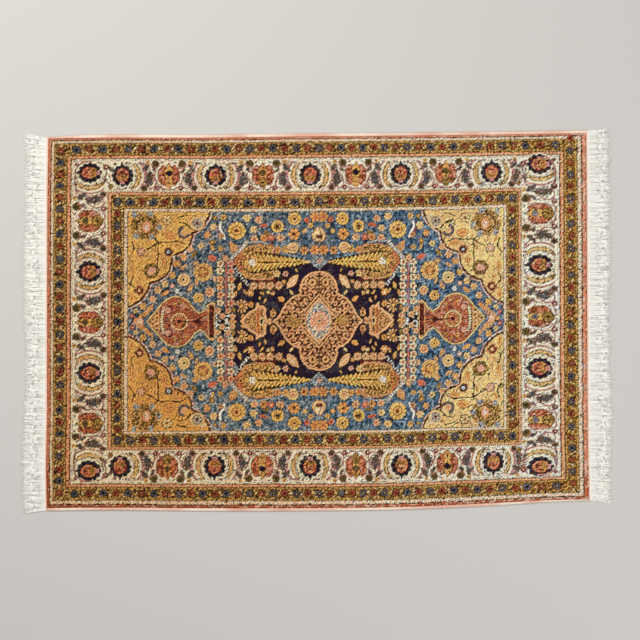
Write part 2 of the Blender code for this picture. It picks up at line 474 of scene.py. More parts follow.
def border_ground(chart):
    """Every band of the border as plain yarns, twisted cords and dashes, by how far in from the edge it
    lies."""
    x, y, fine, coarse = chart.x, chart.y, chart.fine, chart.coarse
    inward = np.minimum(HALF_LONG - np.abs(x), HALF_WIDE - np.abs(y))
    on_end = HALF_LONG - np.abs(x) < HALF_WIDE - np.abs(y)
    along = np.where(on_end, y, x)

    def band(name, before):
        return (inward < BANDS[name]) & (inward >= (BANDS[before] if before else -9))

    # Painted shade: the guard grounds are made darker and warmer towards the east and the south, which also
    # takes back part of the painted sheen at the east.
    to_east, to_south = ease((x - 130) / 120)[..., None], ease((-y - 125) / 60)[..., None]
    painted_guard_shade = to_east * (0.06, 0.13, 0.26) + to_south * (0.06, 0.07, 0.07)
    twist = np.sin((along + 1.1 * inward) * 2 * math.pi / 2.3 + 0.5 * coarse)
    edge = band("edge", None)
    # The outer edge band: salmon, with rust along the south side as a painted shadow, and pinker towards the
    # east.
    dye_in(chart, edge, ("salmon", 0.98), ("rust", 0.92, y < -150), ("pink", 0.98, coarse + x / 900 > 0.35),
           ("red", 0.85, fine < -0.45))
    dye(chart, band("edge_line", "edge"), "black")
    for name, before, dark, tone in (
        ("outer_cord", "edge_line", "maroon", 1.1),
        ("inner_cord", "inner_cord_line", "black", 1.2),
    ):
        cord = band(name, before)
        middle = np.abs(inward - (BANDS[name] + BANDS[before]) / 2) < 1.05
        dye_in(chart, cord, (dark, tone), ("pink", 1.0, middle), ("cream", 0.98, twist > -0.15),
               ("ivory", 1.02, (twist > 0.45) & (fine > -0.2)), ("brown", 1.0, fine < -0.50))
    for name, before in (("outer_cord_line", "outer_cord"), ("inner_cord_line", "inner_guard_gold")):
        dye(chart, band(name, before), "black", 0.9)
    for name, before in (
        ("outer_gold", "outer_cord_line"),
        ("outer_inner_gold", "outer_guard"),
        ("inner_gold", "inner_line"),
        ("inner_guard_gold", "inner_guard"),
    ):
        stripe = band(name, before)
        dye_in(chart, stripe, ("olive", 1.0), ("gold", 0.90, fine > 0.20), ("bark", 1.0, fine < -0.30))
    for name, before in (("outer_guard", "outer_gold"), ("inner_guard", "inner_gold")):
        ground = band(name, before)
        vine = curls(x, y, 5.2, 3.9, 61)
        dye_in(chart, ground, ("guard", 0.92),
               ("olive", 0.92, fine + 0.5 * coarse + 0.3 * ease((x + 60) / 260) > 0.12),
               ("gold", 0.90, (vine > 0.76) & (fine > -0.2)), ("straw", 1.12, (vine > 0.76) & (fine > 0.34)),
               ("bark", 0.8, fine < -0.46))
        # Painted shade on the guard grounds.
        chart.colour[ground] = (chart.colour * (1 - painted_guard_shade))[ground]
    for name, before in (("outer_line", "outer_inner_gold"), ("inner_line", "inner_salmon")):
        dye(chart, band(name, before), "maroon", 0.85)
    for name, before in (("outer_salmon", "outer_line"), ("inner_salmon", "dashes")):
        stripe = band(name, before)
        middle = np.abs(inward - (BANDS[name] + BANDS[before]) / 2) < 1.0
        dye_in(chart, stripe, ("rust", 0.80), ("salmon", 1.06, middle),
               ("peach", 1.02, middle & (twist > 0.1)), ("peach", 0.98, fine > 0.5),
               ("maroon", 1.2, fine < -0.45))
    dye(chart, band("main_line", "outer_salmon"), "black")
    main = band("main", "main_line")
    dye_in(chart, main, ("ivory", 1.03), ("pink", 1.04, fine + 0.5 * coarse < -0.78),
           ("white", 1.02, fine + 0.5 * coarse > 0.55), ("mauve", 1.25, fine > 0.80),
           ("mauve", 1.0, fine - coarse < -1.20))
    for start in (25.9, 57.2):
        dye(chart, main & (np.abs(inward - start) < 0.5) & (fine > 0.1), "black", 1.2)
    dashes = band("dashes", "main")
    dye_in(chart, dashes, ("cream", 0.95),
           ("black", 0.9, np.sin(along * 2 * math.pi / 2.3) + 0.6 * fine > -0.15))
    dye(chart, band("field_line", "inner_cord"), "black")


# The flowers of the guard bands, blue-grey and red by turns: how far in from the edge they stand, on which
# side, the pitch of a pair, how it grows by the cube of its number, where the middle one is, whether that is
# blue, and how many stand on each side of it.
GUARDS = (
    (13.8, "north", 22.3, 0.0170, 0.0, True, 20),
    (13.8, "south", 22.3, 0.0170, 0.0, True, 20),
    (13.8, "west", 25.1, 0.0, 0.0, False, 14),
    (13.8, "east", 25.5, 0.0, -4.8, False, 14),
    (70.3, "north", 23.2, 0.0, 0.0, True, 16),
    (70.3, "south", 23.2, 0.0, 0.0, True, 16),
    (70.3, "west", 24.0, 0.0, 0.0, True, 10),
    (70.3, "east", 24.0, 0.0, 0.0, True, 10),
)


def runs(inward):
    """The four sides of a ring that lies so far inside the edge: each one's name, the bearing of its own
    x, and the point at a distance along it from its middle and so far outward."""
    for name, bearing, half in (
        ("north", 0, HALF_WIDE - inward),
        ("east", -90, HALF_LONG - inward),
        ("south", 180, HALF_WIDE - inward),
        ("west", 90, HALF_LONG - inward),
    ):
        c, s = math.cos(math.radians(bearing)), math.sin(math.radians(bearing))

        def at(t, b=0.0, c=c, s=s, half=half):
            return t * c - (half + b) * s, t * s + (half + b) * c

        yield name, bearing, at


def guard_flowers(chart):
    """Dull blue and brick flowers by turns along both guard bands, and a small light one between each two."""
    draw = np.random.default_rng(31)
    for band, side_name, pitch, growth, first, blue_middle, last in GUARDS:
        at = next(at for name, _, at in runs(band) if name == side_name)
        for k in range(-last, last + 1):
            i = k / 2
            t = pitch * i + growth * i**3 + first + draw.uniform(-0.4, 0.4)
            x, y = at(t, draw.uniform(-0.4, 0.4))
            turn = draw.uniform(0, 70)
            if (k % 2 == 0) == blue_middle:
                place(chart, "blossom smoke black black", x, y, 3.3, turn, petals=5, eye=0.55)
            else:
                place(chart, "blossom brick maroon bark", x, y, 3.0, turn, petals=5, eye=0.55)
            if draw.uniform() > 0.55:
                place(chart, "blossom tan straw", x, y, 0.6)
            x, y = at(t + pitch / 4 + draw.uniform(-0.5, 0.5), draw.uniform(-1.4, 1.4))
            light = draw.choice(("cream", "straw", "peach", "gold"))
            place(chart, "blossom " + light + " gold", x, y)


# What stands beside each dark palmette of the main border: how far along from it and how far outward, in
# squares, its size, its bearing in the run's own frame, and its look.
BESIDE_PALMETTE = (
    (10.0, -12.2, 2.9, 60, "leaf olive brown moss"), (26.8, -4.2, 9.6, 80, "split_leaf"),
    (24.0, 8.4, 6.0, 60, "split_leaf"), (31.6, 6.2, 4.0, -62, "split_leaf mauve"),
    (21.4, -13.0, 2.9, 0, "blossom moss bark mauve"), (33.0, 13.0, 3.3, 0, "blossom moss black olive"),
    (25.0, 14.6, 2.3, 0, "blossom gold moss"), (39.6, 14.2, 2.2, 20, "leaf black"),
    (20.2, 5.0, 1.6, 40, "leaf bark"), (41.0, -15.0, 1.8, 0, "leaf brown"),
    (34.6, -13.2, 2.4, 0, "blossom wine pink mauve"), (29.4, 1.6, 1.8, 0, "blossom brown pink"),
    (37.4, 3.6, 2.0, 80, "leaf black"), (37.8, -6.4, 2.0, 100, "leaf bark"),
)
VINES = (
    ((16.5, 13.6), (20.5, 11.0), (23.2, 5.5), (24.2, -1.0)),
    ((24.5, 2.0), (29.5, 1.2), (33.0, -4.0), (33.4, -10.0), (29.5, -13.6), (25.0, -12.2)),
    ((31.0, -12.8), (36.0, -11.6), (40.5, -14.0), (45.0, -14.6)),
    ((28.4, 12.0), (31.0, 9.0), (34.5, 8.6), (36.4, 11.0)),
)

# The four runs of the main border: where the first and the last dark palmette stand along it, in the run's
# own frame, how many there are, and whether the leaves go on beyond the first and the last.
DARK_RUNS = {
    "north": (-193.3, 175.9, 5, (False, True)),
    "east": (-156.4, 154.6, 4, (False, False)),
    "south": (-177.8, 195.4, 5, (True, False)),
    "west": (-152.5, 151.4, 4, (False, False)),
}

# How far beyond the last dark palmette of a run its leaves go on.
PAST_LAST_LEAF = 33.0

# Yarns of the rust palmettes' dot, seed and crown at the rug's two ends, where the seed is also wider.
END_YARNS = {"west": "moss olive gold", "east": "slate olive gold"}

# What fills the corners of the main border, for one quarter: place, size, bearing and look.
CORNER_LEAVES = (
    (210.4, 157.2, 2.6, 0, "blossom wine pink mauve"), (205.0, 154.6, 4.2, 30, "split_leaf"),
    (200.6, 160.2, 2.0, 0, "blossom mauve maroon"), (211.6, 142.4, 3.2, 120, "split_leaf mauve"),
    (207.0, 147.4, 2.4, 70, "leaf black"), (239.0, 160.6, 2.4, 0, "blossom mauve wine"),
    (240.0, 139.0, 2.8, 80, "leaf wine"), (205.4, 136.4, 2.4, 0, "blossom olive wine bark"),
    (217.0, 162.0, 2.4, 10, "leaf brown"), (232.6, 163.2, 2.0, 0, "blossom pink maroon"),
)
CORNER_VINES = (
    ((239.6, 134.0), (240.6, 146.0), (239.2, 156.0), (233.0, 162.4), (224.0, 163.6)),
    ((213.6, 161.0), (210.0, 152.0), (211.4, 144.0), (206.4, 139.0)),
)


def main_border(chart):
    """Dark palmettes in their C-shaped leaves and rust ones by turns, with leaves, small flowers and thin
    vines.

    On the east side everything stands the other way up: it points inward.
    """
    for name, bearing, at in runs(42.3):
        first, last, count, goes_on = DARK_RUNS[name]
        darks = np.linspace(first, last, count)
        half = (darks[1] - darks[0]) / 2
        squeeze = half / 46.2
        up = -1 if name == "east" else 1
        for i, t in enumerate(darks):
            for way, inner, open_end in ((-1, i > 0, goes_on[0]), (1, i < count - 1, goes_on[1])):
                if not inner and not open_end:
                    continue
                for points in VINES[: 4 if inner else 2]:
                    curve = [at(t + way * a * squeeze, up * b) for a, b in flowing(points, 4)]
                    line(chart, curve, 1.4, "mauve", 1.14)
                place(chart, "sickle", *at(t), 1.0, bearing if way > 0 else bearing + 180, way * up)
                for a, b, size, turn, look in BESIDE_PALMETTE:
                    if inner or a < PAST_LAST_LEAF:
                        x, y = at(t + way * a * squeeze, up * b)
                        facing = bearing + up * (turn if way > 0 else 180 - turn)
                        place(chart, look, x, y, size, facing, way * up)
            facing = bearing if up > 0 else bearing + 180
            place(chart, "dark_palmette", *at(t), 1.0, facing)
            if i < count - 1:
                dot_at, seed_width = (4.4, 5.2) if name in END_YARNS else (2.6, 3.5)
                yarns = END_YARNS.get(name, "moss olive orange" if i % 2 else "navy gold gold")
                look = "rust_palmette " + yarns
                place(chart, look, *at(t + half), 1.0, facing, dot_at=dot_at, seed_width=seed_width)
    for points in CORNER_VINES:
        four_lines(chart, flowing(points, 4), 1.6, "mauve")
    lay_flowers(chart, CORNER_LEAVES)


# The field.


def spandrel_edge():
    """The lobed edge of one corner piece, from the field's long side to its short side: arcs between
    cusps."""
    cusps = ((105.5, 109.4), (123.0, 87.6), (142.8, 66.0), (165.0, 37.6), (187.5, 13.6))
    bows = (-3.6, -6.2, -7.6, -4.6)
    return np.concatenate([arc(a, b, bow) for a, b, bow in zip(cusps[:-1], cusps[1:], bows)])


def field_ground(chart):
    """Blue, painted paler and greyer towards the west as sheen, with the navy hexagon in the middle and a
    gold piece in each corner. Painted sheen and shade lie on the gold pieces too, and in patches on the navy."""
    part, x, y = chart.near(0, 0, FIELD_LONG + 4)
    inside = (np.abs(x) < FIELD_LONG) & (np.abs(y) < FIELD_WIDE)
    rows, columns = x.shape
    fine, coarse = part.fine, part.coarse
    blotch = mottle(rows, columns, 30, 42)
    dye_in(part, inside, ("blue", 0.94), ("sky", 0.84, 0.6 * fine + coarse + 0.25 * blotch > 0.50),
           ("teal", 0.88, 0.6 * fine + coarse < -0.28), ("navy", 1.10, 0.8 * fine + coarse < -0.80))
    # Painted sheen: the blue is paler and greyer towards the west, lighter still to the south-west, and bluer
    # to the east.
    east = ease((x + 60) / 150 + 0.25 * blotch)[..., None]
    south = ease((20 - y) / 90)[..., None] * (1 - east)
    cool = part.colour * (0.91, 1.00, 1.09)
    grey = part.colour * (1.09, 1.03, 1.02)
    part.colour[inside] = ((cool * east + grey * (1 - east)) * (1 + 0.09 * south))[inside]

    edge = spandrel_edge()
    corner = np.concatenate((edge, ((FIELD_LONG, FIELD_WIDE),)))
    u, v = np.abs(x), np.abs(y)
    gold = inside & within(u, v, corner)
    from_edge = np.full(x.shape, 99.0, np.float32)
    close = inside & (u > 96) & (v > 8)
    from_edge[close] = from_line(u[close], v[close], edge)
    dye_in(part, inside & ~gold & (from_edge < 1.2), ("pink", 0.90, fine > -0.35),
           ("white", 0.98, fine > 0.35))
    dye_in(part, gold, ("gold", 1.10), ("yellow", 1.0, 0.5 * fine + coarse > 0.10),
           ("straw", 1.0, 0.6 * fine + coarse > 0.75), ("tan", 0.94, 0.4 * fine + coarse < -0.70))
    sprigs = curls(x, y, 11.5, 7.5, 62)
    dye(part, gold & (sprigs > 0.88) & (coarse > -0.30), "bark", 0.9)
    # Painted sheen and shade on the gold pieces: paler and bluer towards the east, darker and warmer towards
    # the south.
    part.colour[gold] = (part.colour * (1 + east * (0.05, 0.11, 0.32) - south * (0.04, 0.09, 0.11)))[gold]
    dye_in(part, gold, ("rust", 0.72, (from_edge < 2.6) & (fine > -0.3)), ("maroon", 0.95, from_edge < 1.9))

    navy = inside & (v < 58.5) & (u < 86 - np.clip(v - 36, 0, 99) * 0.62)
    dye(part, navy, "navy")
    # Painted sheen: lighter patches of navy and smoke over the navy ground.
    painted_navy_sheen = navy & (0.4 * coarse + blotch + 0.3 * fine > 0.55)
    dye_in(part, painted_navy_sheen, ("navy", 1.40), ("smoke", 0.80, fine > 0.0))
    dye_in(part, navy, ("black", 0.8, fine < -0.30), ("bark", 1.3, fine < -0.72))


@reach(40)
def cypress(part, x, y):
    """A golden tree along x from its foot at -29 to its tip at 29: rows of pointed leaflets with dark gaps
    between."""
    fine, coarse = part.fine, part.coarse
    t = np.clip((29.5 - x) / 58, 0, 1)
    v = np.abs(y)
    half = 9.4 * t**0.80
    comb = (x + 0.75 * v) % 3.9 / 3.9
    dye(part, (x > -29) & (x < 30) & (v < half * 1.16 + 0.9), "bark", 0.8)
    body = (x > -29) & (x < 29.5) & (v < half * (0.56 + 0.62 * comb) + 0.5 * fine)
    dye_in(part, body, ("yellow", 0.92), ("yellow", 1.04, (comb > 0.5) & (x > 0)),
           ("straw", 1.08, fine > 0.55), ("orange", 0.86, fine < -0.35),
           ("brown", 0.8, (comb < 0.30 + 0.2 * fine) & (v > half * (0.30 + 0.3 * coarse))),
           ("brown", 0.95, fine < -0.62))
    dye(part, (v < 1.0 + 0.4 * fine) & (x > -24) & (x < -4), "bark", 0.8)
    dye(part, (v < 1.0) & (x > -4) & (x < 21) & (np.sin(x * 1.6) > -0.4), "bark", 0.9)


@reach(42)
def foliage(part, x, y):
    """The rounded thicket round a cypress's foot, opening along x: two lobed leaves with a coral back."""
    fine, coarse = part.fine, part.coarse
    v = np.abs(y)
    outline = np.array(((-20, 0), (-17.5, 6.5), (-9, 15.4), (2, 18.2), (16, 18.0), (20, 15.0), (18.5, 9.0),
                        (20, 6.0), (20, 0)))
    body = within(x, v + 0.8 * fine, outline)
    rim = from_line(x, v, outline[:7])
    dye(part, body | (rim < 0.8), "brown", 1.1)
    dye_in(part, body, ("tan", 0.94), ("gold", 0.96, fine + 0.3 * coarse > 0.12),
           ("olive", 0.90, fine - 0.4 * coarse < -0.30))
    scroll = curls(x, y, 6.4, 3.8, 63)
    dye_in(part, body & (rim > 1.5), ("brown", 0.95, scroll > 0.35), ("moss", 1.0, scroll > 0.86))
    back = body & (x + 0.35 * v < -8.5)
    dye_in(part, back, ("orange", 0.86), ("coral", 0.94, fine > 0.1), ("brown", 0.9, fine < -0.3))
    dye_in(part, body, ("peach", 0.92, (rim < 2.0) & (x > -4) & (fine > -0.1)),
           ("coral", 0.80, (rim < 1.3) & (x > 0) & (fine < 0.0)))
    dye(part, np.hypot(x + 13.5, y) < 3.8, "moss", 0.9)
    dye(part, (np.hypot(x + 13.5, y) < 3.0) & (fine > -0.1), "orange", 0.9)
    dye(part, np.hypot(x + 13.5, y) < 1.2, "bark")


@reach(52)
def medallion(part, x, y):
    """The tan medallion: tips at 45 along x, round lobes at 50 along y, dark brown scrolls between
    chevrons, and a pale almond with a rosette in the middle."""
    fine, coarse = part.fine, part.coarse
    u, v = np.abs(x), np.abs(y)
    outline = flowing(((45.5, 0), (39.5, 5.5), (36, 12.5), (31.5, 19.5), (25.5, 25), (19.0, 27.4)), 4)
    lobe = flowing(((19.0, 27.4), (18.8, 34), (16.0, 41.5), (9.5, 47.8), (0, 50.2)), 4)
    outline = np.concatenate((outline, lobe[1:]))
    body = within(u, v, np.concatenate((outline, ((0, 0),))))
    edge = from_line(u, v, outline)
    dye(part, ~body & (edge < 1.4), "black")
    dye_in(part, body, ("salmon", 0.86), ("tan", 1.0, fine > -0.1), ("peach", 0.94, fine > 0.45))
    slant = 0.55 * coarse
    stroke = curls(0.79 * u + 0.61 * v + slant, 1.5 * (0.79 * v - 0.61 * u), 9.0, 4.9, 64) + 0.2 * fine
    dye_in(part, body & (edge > 1.7), ("brown", 1.02, stroke > -0.18), ("bark", 1.1, stroke > 0.42),
           ("peach", 0.96, stroke < -0.92))
    heads = np.hypot(u - 6.6, v - 38.5)
    dye_in(part, body, ("tan", 1.05, heads < 5.2),
           ("brown", 0.8, (np.abs(heads - 4.4) < 0.8) & (fine > -0.5)),
           ("brown", 0.8, (u < 0.9) & (v > 30) & (v < 47)), ("brown", 0.9, heads < 1.7))
    for k, yarn, tone in ((-0.4, "brown", 0.8), (2.0, "peach", 0.96), (4.2, "brown", 0.7), (6.6, "tan", 1.06),
                          (8.4, "brown", 0.9)):
        chevron = np.abs(v + 1.15 * u - (20.6 + k)) < 1.05 + 0.5 * fine
        dye(part, body & chevron & (u < 14.0) & (coarse > -0.6), yarn, tone)
    wings = np.hypot((u - 24.0) / 7.2, v / 5.6) + 0.3 * coarse
    dye_in(part, body, ("tan", 0.98, wings < 1), ("olive", 1.20, (wings < 1) & (fine > 0.0)),
           ("brown", 1.25, (wings < 1) & (fine < -0.4)), ("brown", 0.7, (v < 0.8) & (u > 30) & (u < 42)),
           ("peach", 0.98, edge < 1.5 + 0.7 * fine))
    almond = (u / 12.2) ** 1.7 + (v / 18.4) ** 1.5 + 0.12 * fine
    dye(part, almond < 1.14, "peach", 0.98)
    dye_in(part, almond < 1.0, ("sky", 0.98), ("cream", 0.94, fine > 0.25), ("slate", 1.10, fine < -0.30))
    r, a = np.hypot(x, y * 0.92), np.arctan2(y, x)
    petals = 9.4 + 0.7 * np.cos(12 * a) + 1.4 * fine
    dye_in(part, r < petals, ("pink", 1.02), ("salmon", 1.10, np.cos(12 * a) + 0.8 * fine < -0.2))
    dye_in(part, r < petals - 1.0, ("cream", 0.98, fine > 0.35), ("coral", 1.0, fine < -0.5))
    dye(part, (r < petals - 4.6) & (np.cos(8 * a + 0.4) > 0.0), "salmon", 1.10)
    dye(part, r < 3.4, "coral", 1.05)
    dye(part, r < 2.6, "peach", 1.05)
    dye(part, r < 1.4, "blue")


@reach(24)
def pendant(part, x, y):
    """The crowned piece beyond the medallion's tip, pointing along x: a lobed outline round an orange
    band."""
    v = np.abs(y)
    outline = np.array(((14.8, 0), (10.5, 5.8), (4.5, 10.6), (-0.5, 13.6), (-1.2, 18.2), (-4.2, 15.2),
                        (-7.0, 15.4), (-9.6, 13.0), (-9.0, 8.0), (-9.6, 3.4), (-12.5, 1.2), (-12.5, 0)))
    body = within(x, v, outline)
    edge = from_line(x, v, outline[:-1])
    dye(part, ~body & (edge < 1.7), "black")
    dye(part, body | (edge < 0.9), "peach")
    inner = body & (edge > 1.5 + 0.5 * part.fine)
    dye_in(part, inner, ("tan", 0.94), ("gold", 0.94, part.fine > 0.40))
    scroll = curls(x, v, 5.2, 3.6, 65)
    dye_in(part, inner, ("brown", 1.0, scroll > 0.05), ("wine", 0.9, (scroll > 0.75) & (x > 0)),
           ("orange", 0.92, np.abs(x + 2.2) < 2.2),
           ("coral", 0.88, (np.abs(x + 2.2) < 1.3) & (part.fine > -0.3)))
    dye(part, (np.abs(x + 5.8) / 2.4) ** 2 + (v / 5.0) ** 2 < 1, "straw")
    dye(part, (np.abs(x + 5.8) / 1.4) ** 2 + (v / 3.2) ** 2 < 1, "teal", 0.8)


# One side of the vase, from its lip along -x to its foot along +x.
VASE_OUTLINE = (
    (-35.4, 0), (-35.4, 17.6), (-33.0, 19.0), (-29.2, 16.8), (-25.5, 11.0), (-20.8, 8.4), (-16.2, 11.1),
    (-11.4, 17.6), (-7.0, 22.5), (-1.0, 24.9), (6.0, 24.9), (12.0, 22.3), (17.2, 17.2), (22.0, 11.4),
    (27.8, 4.6), (31.4, 0),
)


@reach(48)
def vase(part, x, y):
    """The rust vase, lying with its mouth along -x: lip, neck, round body with a ringed flower, foot and
    collar."""
    fine, coarse = part.fine, part.coarse
    v = np.abs(y)
    slant = v + 0.86 * (x - 43.0)
    arms = (np.abs(slant) < 2.6 + 2.4 * fine) & (x > 25.5) & (x < 46.5) & (v < 19)
    dye_in(part, arms, ("tan", 1.04), ("peach", 1.0, fine > 0.2), ("orange", 0.94, coarse < -0.2),
           ("brown", 1.2, fine < -0.45))
    dye(part, np.hypot(x - 38.4, v) < 3.6 + 1.4 * fine, "pink", 1.04)
    dye(part, np.hypot(x - 38.4, v) < 1.8 + fine, "cream")
    outline = np.array(VASE_OUTLINE)
    body = within(x, v, outline)
    edge = from_line(x, v, outline[1:])
    dye(part, ~body & (edge < 1.4), "bark")
    dye_in(part, body, ("rust", 0.92), ("coral", 0.82, coarse > 0.20),
           ("pink", 0.84, (coarse > 0.45) & (fine > -0.3)), ("orange", 0.96, fine > 0.76),
           ("wine", 1.0, 0.6 * fine + coarse < -0.52), ("mauve", 0.9, (coarse < -0.5) & (fine > 0.1)),
           ("maroon", 1.1, (curls(x, v, 7.6, 4.6, 66) > 0.93) & (coarse > 0.1)))
    spread = np.clip(-13.0 - x, 0, 14) * 0.42
    fanned = (np.abs(v - spread) < 0.75) | (np.abs(v - 0.5 * spread) < 0.55)
    dye(part, body & (x > -27.5) & (x < -14) & fanned, "maroon", 0.85)
    lip = body & (x < -28.8)
    dye_in(part, lip, ("tan", 0.96), ("bark", 1.1, (x < -29.8) & (x > -34.6) & (v < 16.4)),
           ("wine", 1.0, (x < -30.4) & (x > -34.0) & (v < 15.6) & (fine > 0.35)))
    ring = np.hypot(x + 0.4, y)
    dye(part, ring < 7.4, "brown", 1.1)
    dye_in(part, ring < 6.6, ("rust", 0.92, fine > -0.2), ("tan", 1.0, fine > 0.4))
    dye(part, (np.abs(ring - 7.9) < 0.62) & (fine > -0.62), "straw", 0.98)
    dye(part, ring < 3.2, "coral", 0.9)
    dye(part, ring < 2.2, "navy", 0.9)
    dye_in(part, body, ("maroon", 0.7, (v < 0.9) & (x < -1.0) & (x > -28)),
           ("maroon", 1.0, (v < 0.6) & (x > 8) & (x < 14)))
    beads = np.abs(x - 16.8 + 0.012 * v * v)
    dye_in(part, body, ("maroon", 1.3, (beads < 2.2) & (v < 13.4)),
           ("cream", 1.0, (beads < 1.3) & (v < 12.6) & (np.sin(v * 2.6 + 0.8) > -0.3)))
    dye(part, (np.hypot(x - 9.8, v - 11.6) < 4.6) & (coarse > -0.5) & (fine > -0.3), "wine", 1.05)
    dye(part, (np.hypot(x - 10.6, v - 11.2) < 2.9) & (fine > -0.3), "pink", 0.94)
    for bx, bv in ((-7.5, 15.0), (-2.0, 19.0), (4.0, 17.6)):
        dye(part, np.hypot(x - bx, v - bv) < 1.9, "bark", 1.1)
        dye(part, np.hypot(x - bx, v - bv) < 1.1, "olive", 1.3)
    foot = body & (x > 19.2)
    dye_in(part, foot, ("tan", 1.02), ("peach", 0.98, fine > 0.2))
    for bx, bv in ((22.6, 0.0), (21.8, 4.0), (25.6, 2.2), (28.0, 0.0), (21.6, 8.0)):
        dye(part, np.hypot(x - bx, v - bv) < 1.15, "bark", 1.1)
    dye(part, body & (edge < 1.5) & (x > -29), "maroon", 1.1)
    dye(part, (edge < 0.56) & (fine > -0.7), "straw", 0.94)


# Flowers of the field, for one quarter: distance along and across from the rug's middle, size, bearing, look
# and, for some, what else differs.
BLUE_FLOWERS = (
    (80.5, 91.0, 8.6, 0, "rosette yellow orange wine"), (113.5, 49.5, 9.2, 0, "rosette gold rust gold"),
    (132.2, 41.8, 6.2, 0, "rosette straw straw maroon"), (84.0, 74.5, 6.4, 60, "bud tan orange"),
    (40.5, 95.0, 6.0, 0, "rosette yellow brown black"), (24.0, 102.5, 6.3, 0, "rosette yellow orange black"),
    (24.6, 87.2, 5.6, 0, "blossom orange maroon"), (63.4, 82.6, 3.8, 0, "blossom peach coral"),
    (54.0, 83.4, 3.6, 0, "blossom orange red"), (47.0, 84.0, 3.4, 0, "blossom coral peach"),
    (37.6, 83.8, 3.7, 0, "blossom peach red"), (40.6, 71.4, 3.6, 0, "blossom orange rust"),
    (25.6, 73.6, 5.6, 0, "rosette straw peach coral"), (32.6, 72.0, 3.4, 0, "blossom gold rust"),
    (14.8, 71.0, 3.9, 0, "blossom orange brown"), (4.4, 71.2, 4.6, 0, "blossom orange rust"),
    (4.0, 104.6, 4.9, 0, "blossom orange coral"), (1.5, 86.6, 7.2, 90, "bud straw cream tan"),
    (1.6, 84.6, 2.2, 0, "blossom wine bark"), (70.5, 104.0, 3.8, 0, "blossom straw orange"),
    (59.0, 102.0, 3.6, 0, "blossom peach coral"), (64.0, 92.4, 3.4, 0, "blossom straw orange"),
    (54.0, 95.8, 5.2, -12, "leaf rust", {"width": 0.3}), (51.0, 88.6, 4.0, 10, "leaf olive"),
    (14.0, 90.4, 2.3, 0, "blossom gold straw"), (12.0, 101.4, 2.7, 0, "blossom coral maroon"),
    (8.4, 95.8, 2.6, 0, "blossom gold red"), (93.6, 104.4, 3.0, 0, "blossom gold brown"),
    (101.6, 104.0, 2.4, 0, "blossom olive gold"), (103.4, 95.0, 3.6, 0, "blossom straw peach"),
    (109.6, 87.0, 3.2, 0, "blossom orange gold"), (104.6, 79.4, 3.2, 0, "blossom olive gold"),
    (104.2, 73.6, 3.2, 60, "leaf gold"), (96.4, 73.0, 2.6, 0, "blossom gold olive"),
    (115.6, 76.0, 3.0, 0, "blossom straw olive"), (126.0, 72.4, 3.2, 0, "blossom peach orange"),
    (132.4, 64.8, 3.6, 0, "blossom peach orange"), (139.2, 58.0, 3.4, 0, "blossom orange straw"),
    (122.5, 67.0, 4.6, -55, "leaf olive"), (132.6, 54.6, 4.2, -35, "leaf tan"),
    (104.4, 63.4, 4.8, 20, "leaf coral", {"width": 0.6}), (91.8, 63.6, 3.4, 0, "blossom peach coral"),
    (121.0, 58.6, 2.8, 0, "blossom tan straw"), (143.8, 46.4, 3.2, 0, "blossom gold straw"),
    (143.8, 35.6, 2.3, 0, "blossom pink white"), (151.0, 37.8, 3.3, 0, "blossom straw orange"),
    (158.0, 32.0, 3.4, 0, "blossom peach gold"), (138.6, 30.4, 2.3, 0, "blossom white pink"),
    (150.6, 28.6, 4.8, 150, "leaf orange"), (125.6, 34.0, 4.9, -60, "leaf tan"),
    (107.0, 29.6, 4.6, 0, "rosette peach coral peach", {"petals": 8}),
    (118.0, 24.0, 5.0, 0, "rosette gold gold black"), (163.4, 22.8, 3.4, 0, "blossom peach gold"),
    (172.8, 15.8, 3.5, 0, "blossom gold orange"), (180.2, 10.8, 2.5, 0, "blossom straw olive"),
    (184.0, 5.6, 2.7, 0, "blossom red pink"), (119.8, 39.6, 3.6, 70, "leaf tan"),
    (101.0, 43.0, 2.9, 0, "blossom peach red"), (95.6, 85.6, 2.8, 0, "blossom tan rust"),
    (71.0, 70.0, 2.0, 0, "blossom grey sky"),
)
NAVY_FLOWERS = (
    (44.8, 8.6, 4.8, 90, "bud tan red"), (44.6, 7.4, 1.4, 0, "blossom olive bark"),
    (76.0, 15.2, 6.5, 160, "fan"), (67.0, 28.6, 3.4, 0, "blossom orange cream"),
    (77.5, 35.0, 4.0, 108, "leaf gold"), (81.6, 27.6, 3.1, 100, "leaf orange"),
    (72.2, 29.6, 2.6, 60, "leaf tan"), (55.6, 28.0, 2.6, 45, "leaf gold"),
    (45.6, 28.0, 2.0, 0, "blossom tan gold"), (37.0, 22.2, 4.0, 35, "bud orange gold"),
    (27.0, 28.6, 2.8, 50, "leaf straw"), (58.0, 23.2, 2.2, 80, "leaf orange"),
    (52.8, 20.6, 2.6, 110, "leaf tan"), (66.8, 16.8, 2.7, 0, "blossom orange brown"),
    (73.4, 4.4, 2.6, 0, "blossom orange rust"), (83.6, 12.4, 3.1, 75, "leaf olive"),
    (41.0, 47.8, 3.1, 0, "blossom straw orange"), (32.8, 47.6, 2.6, 0, "blossom pink olive"),
    (22.4, 51.0, 1.9, 60, "leaf gold"), (34.4, 39.4, 1.9, 0, "blossom orange gold"),
    (49.8, 29.0, 1.7, 0, "blossom straw tan"),
)
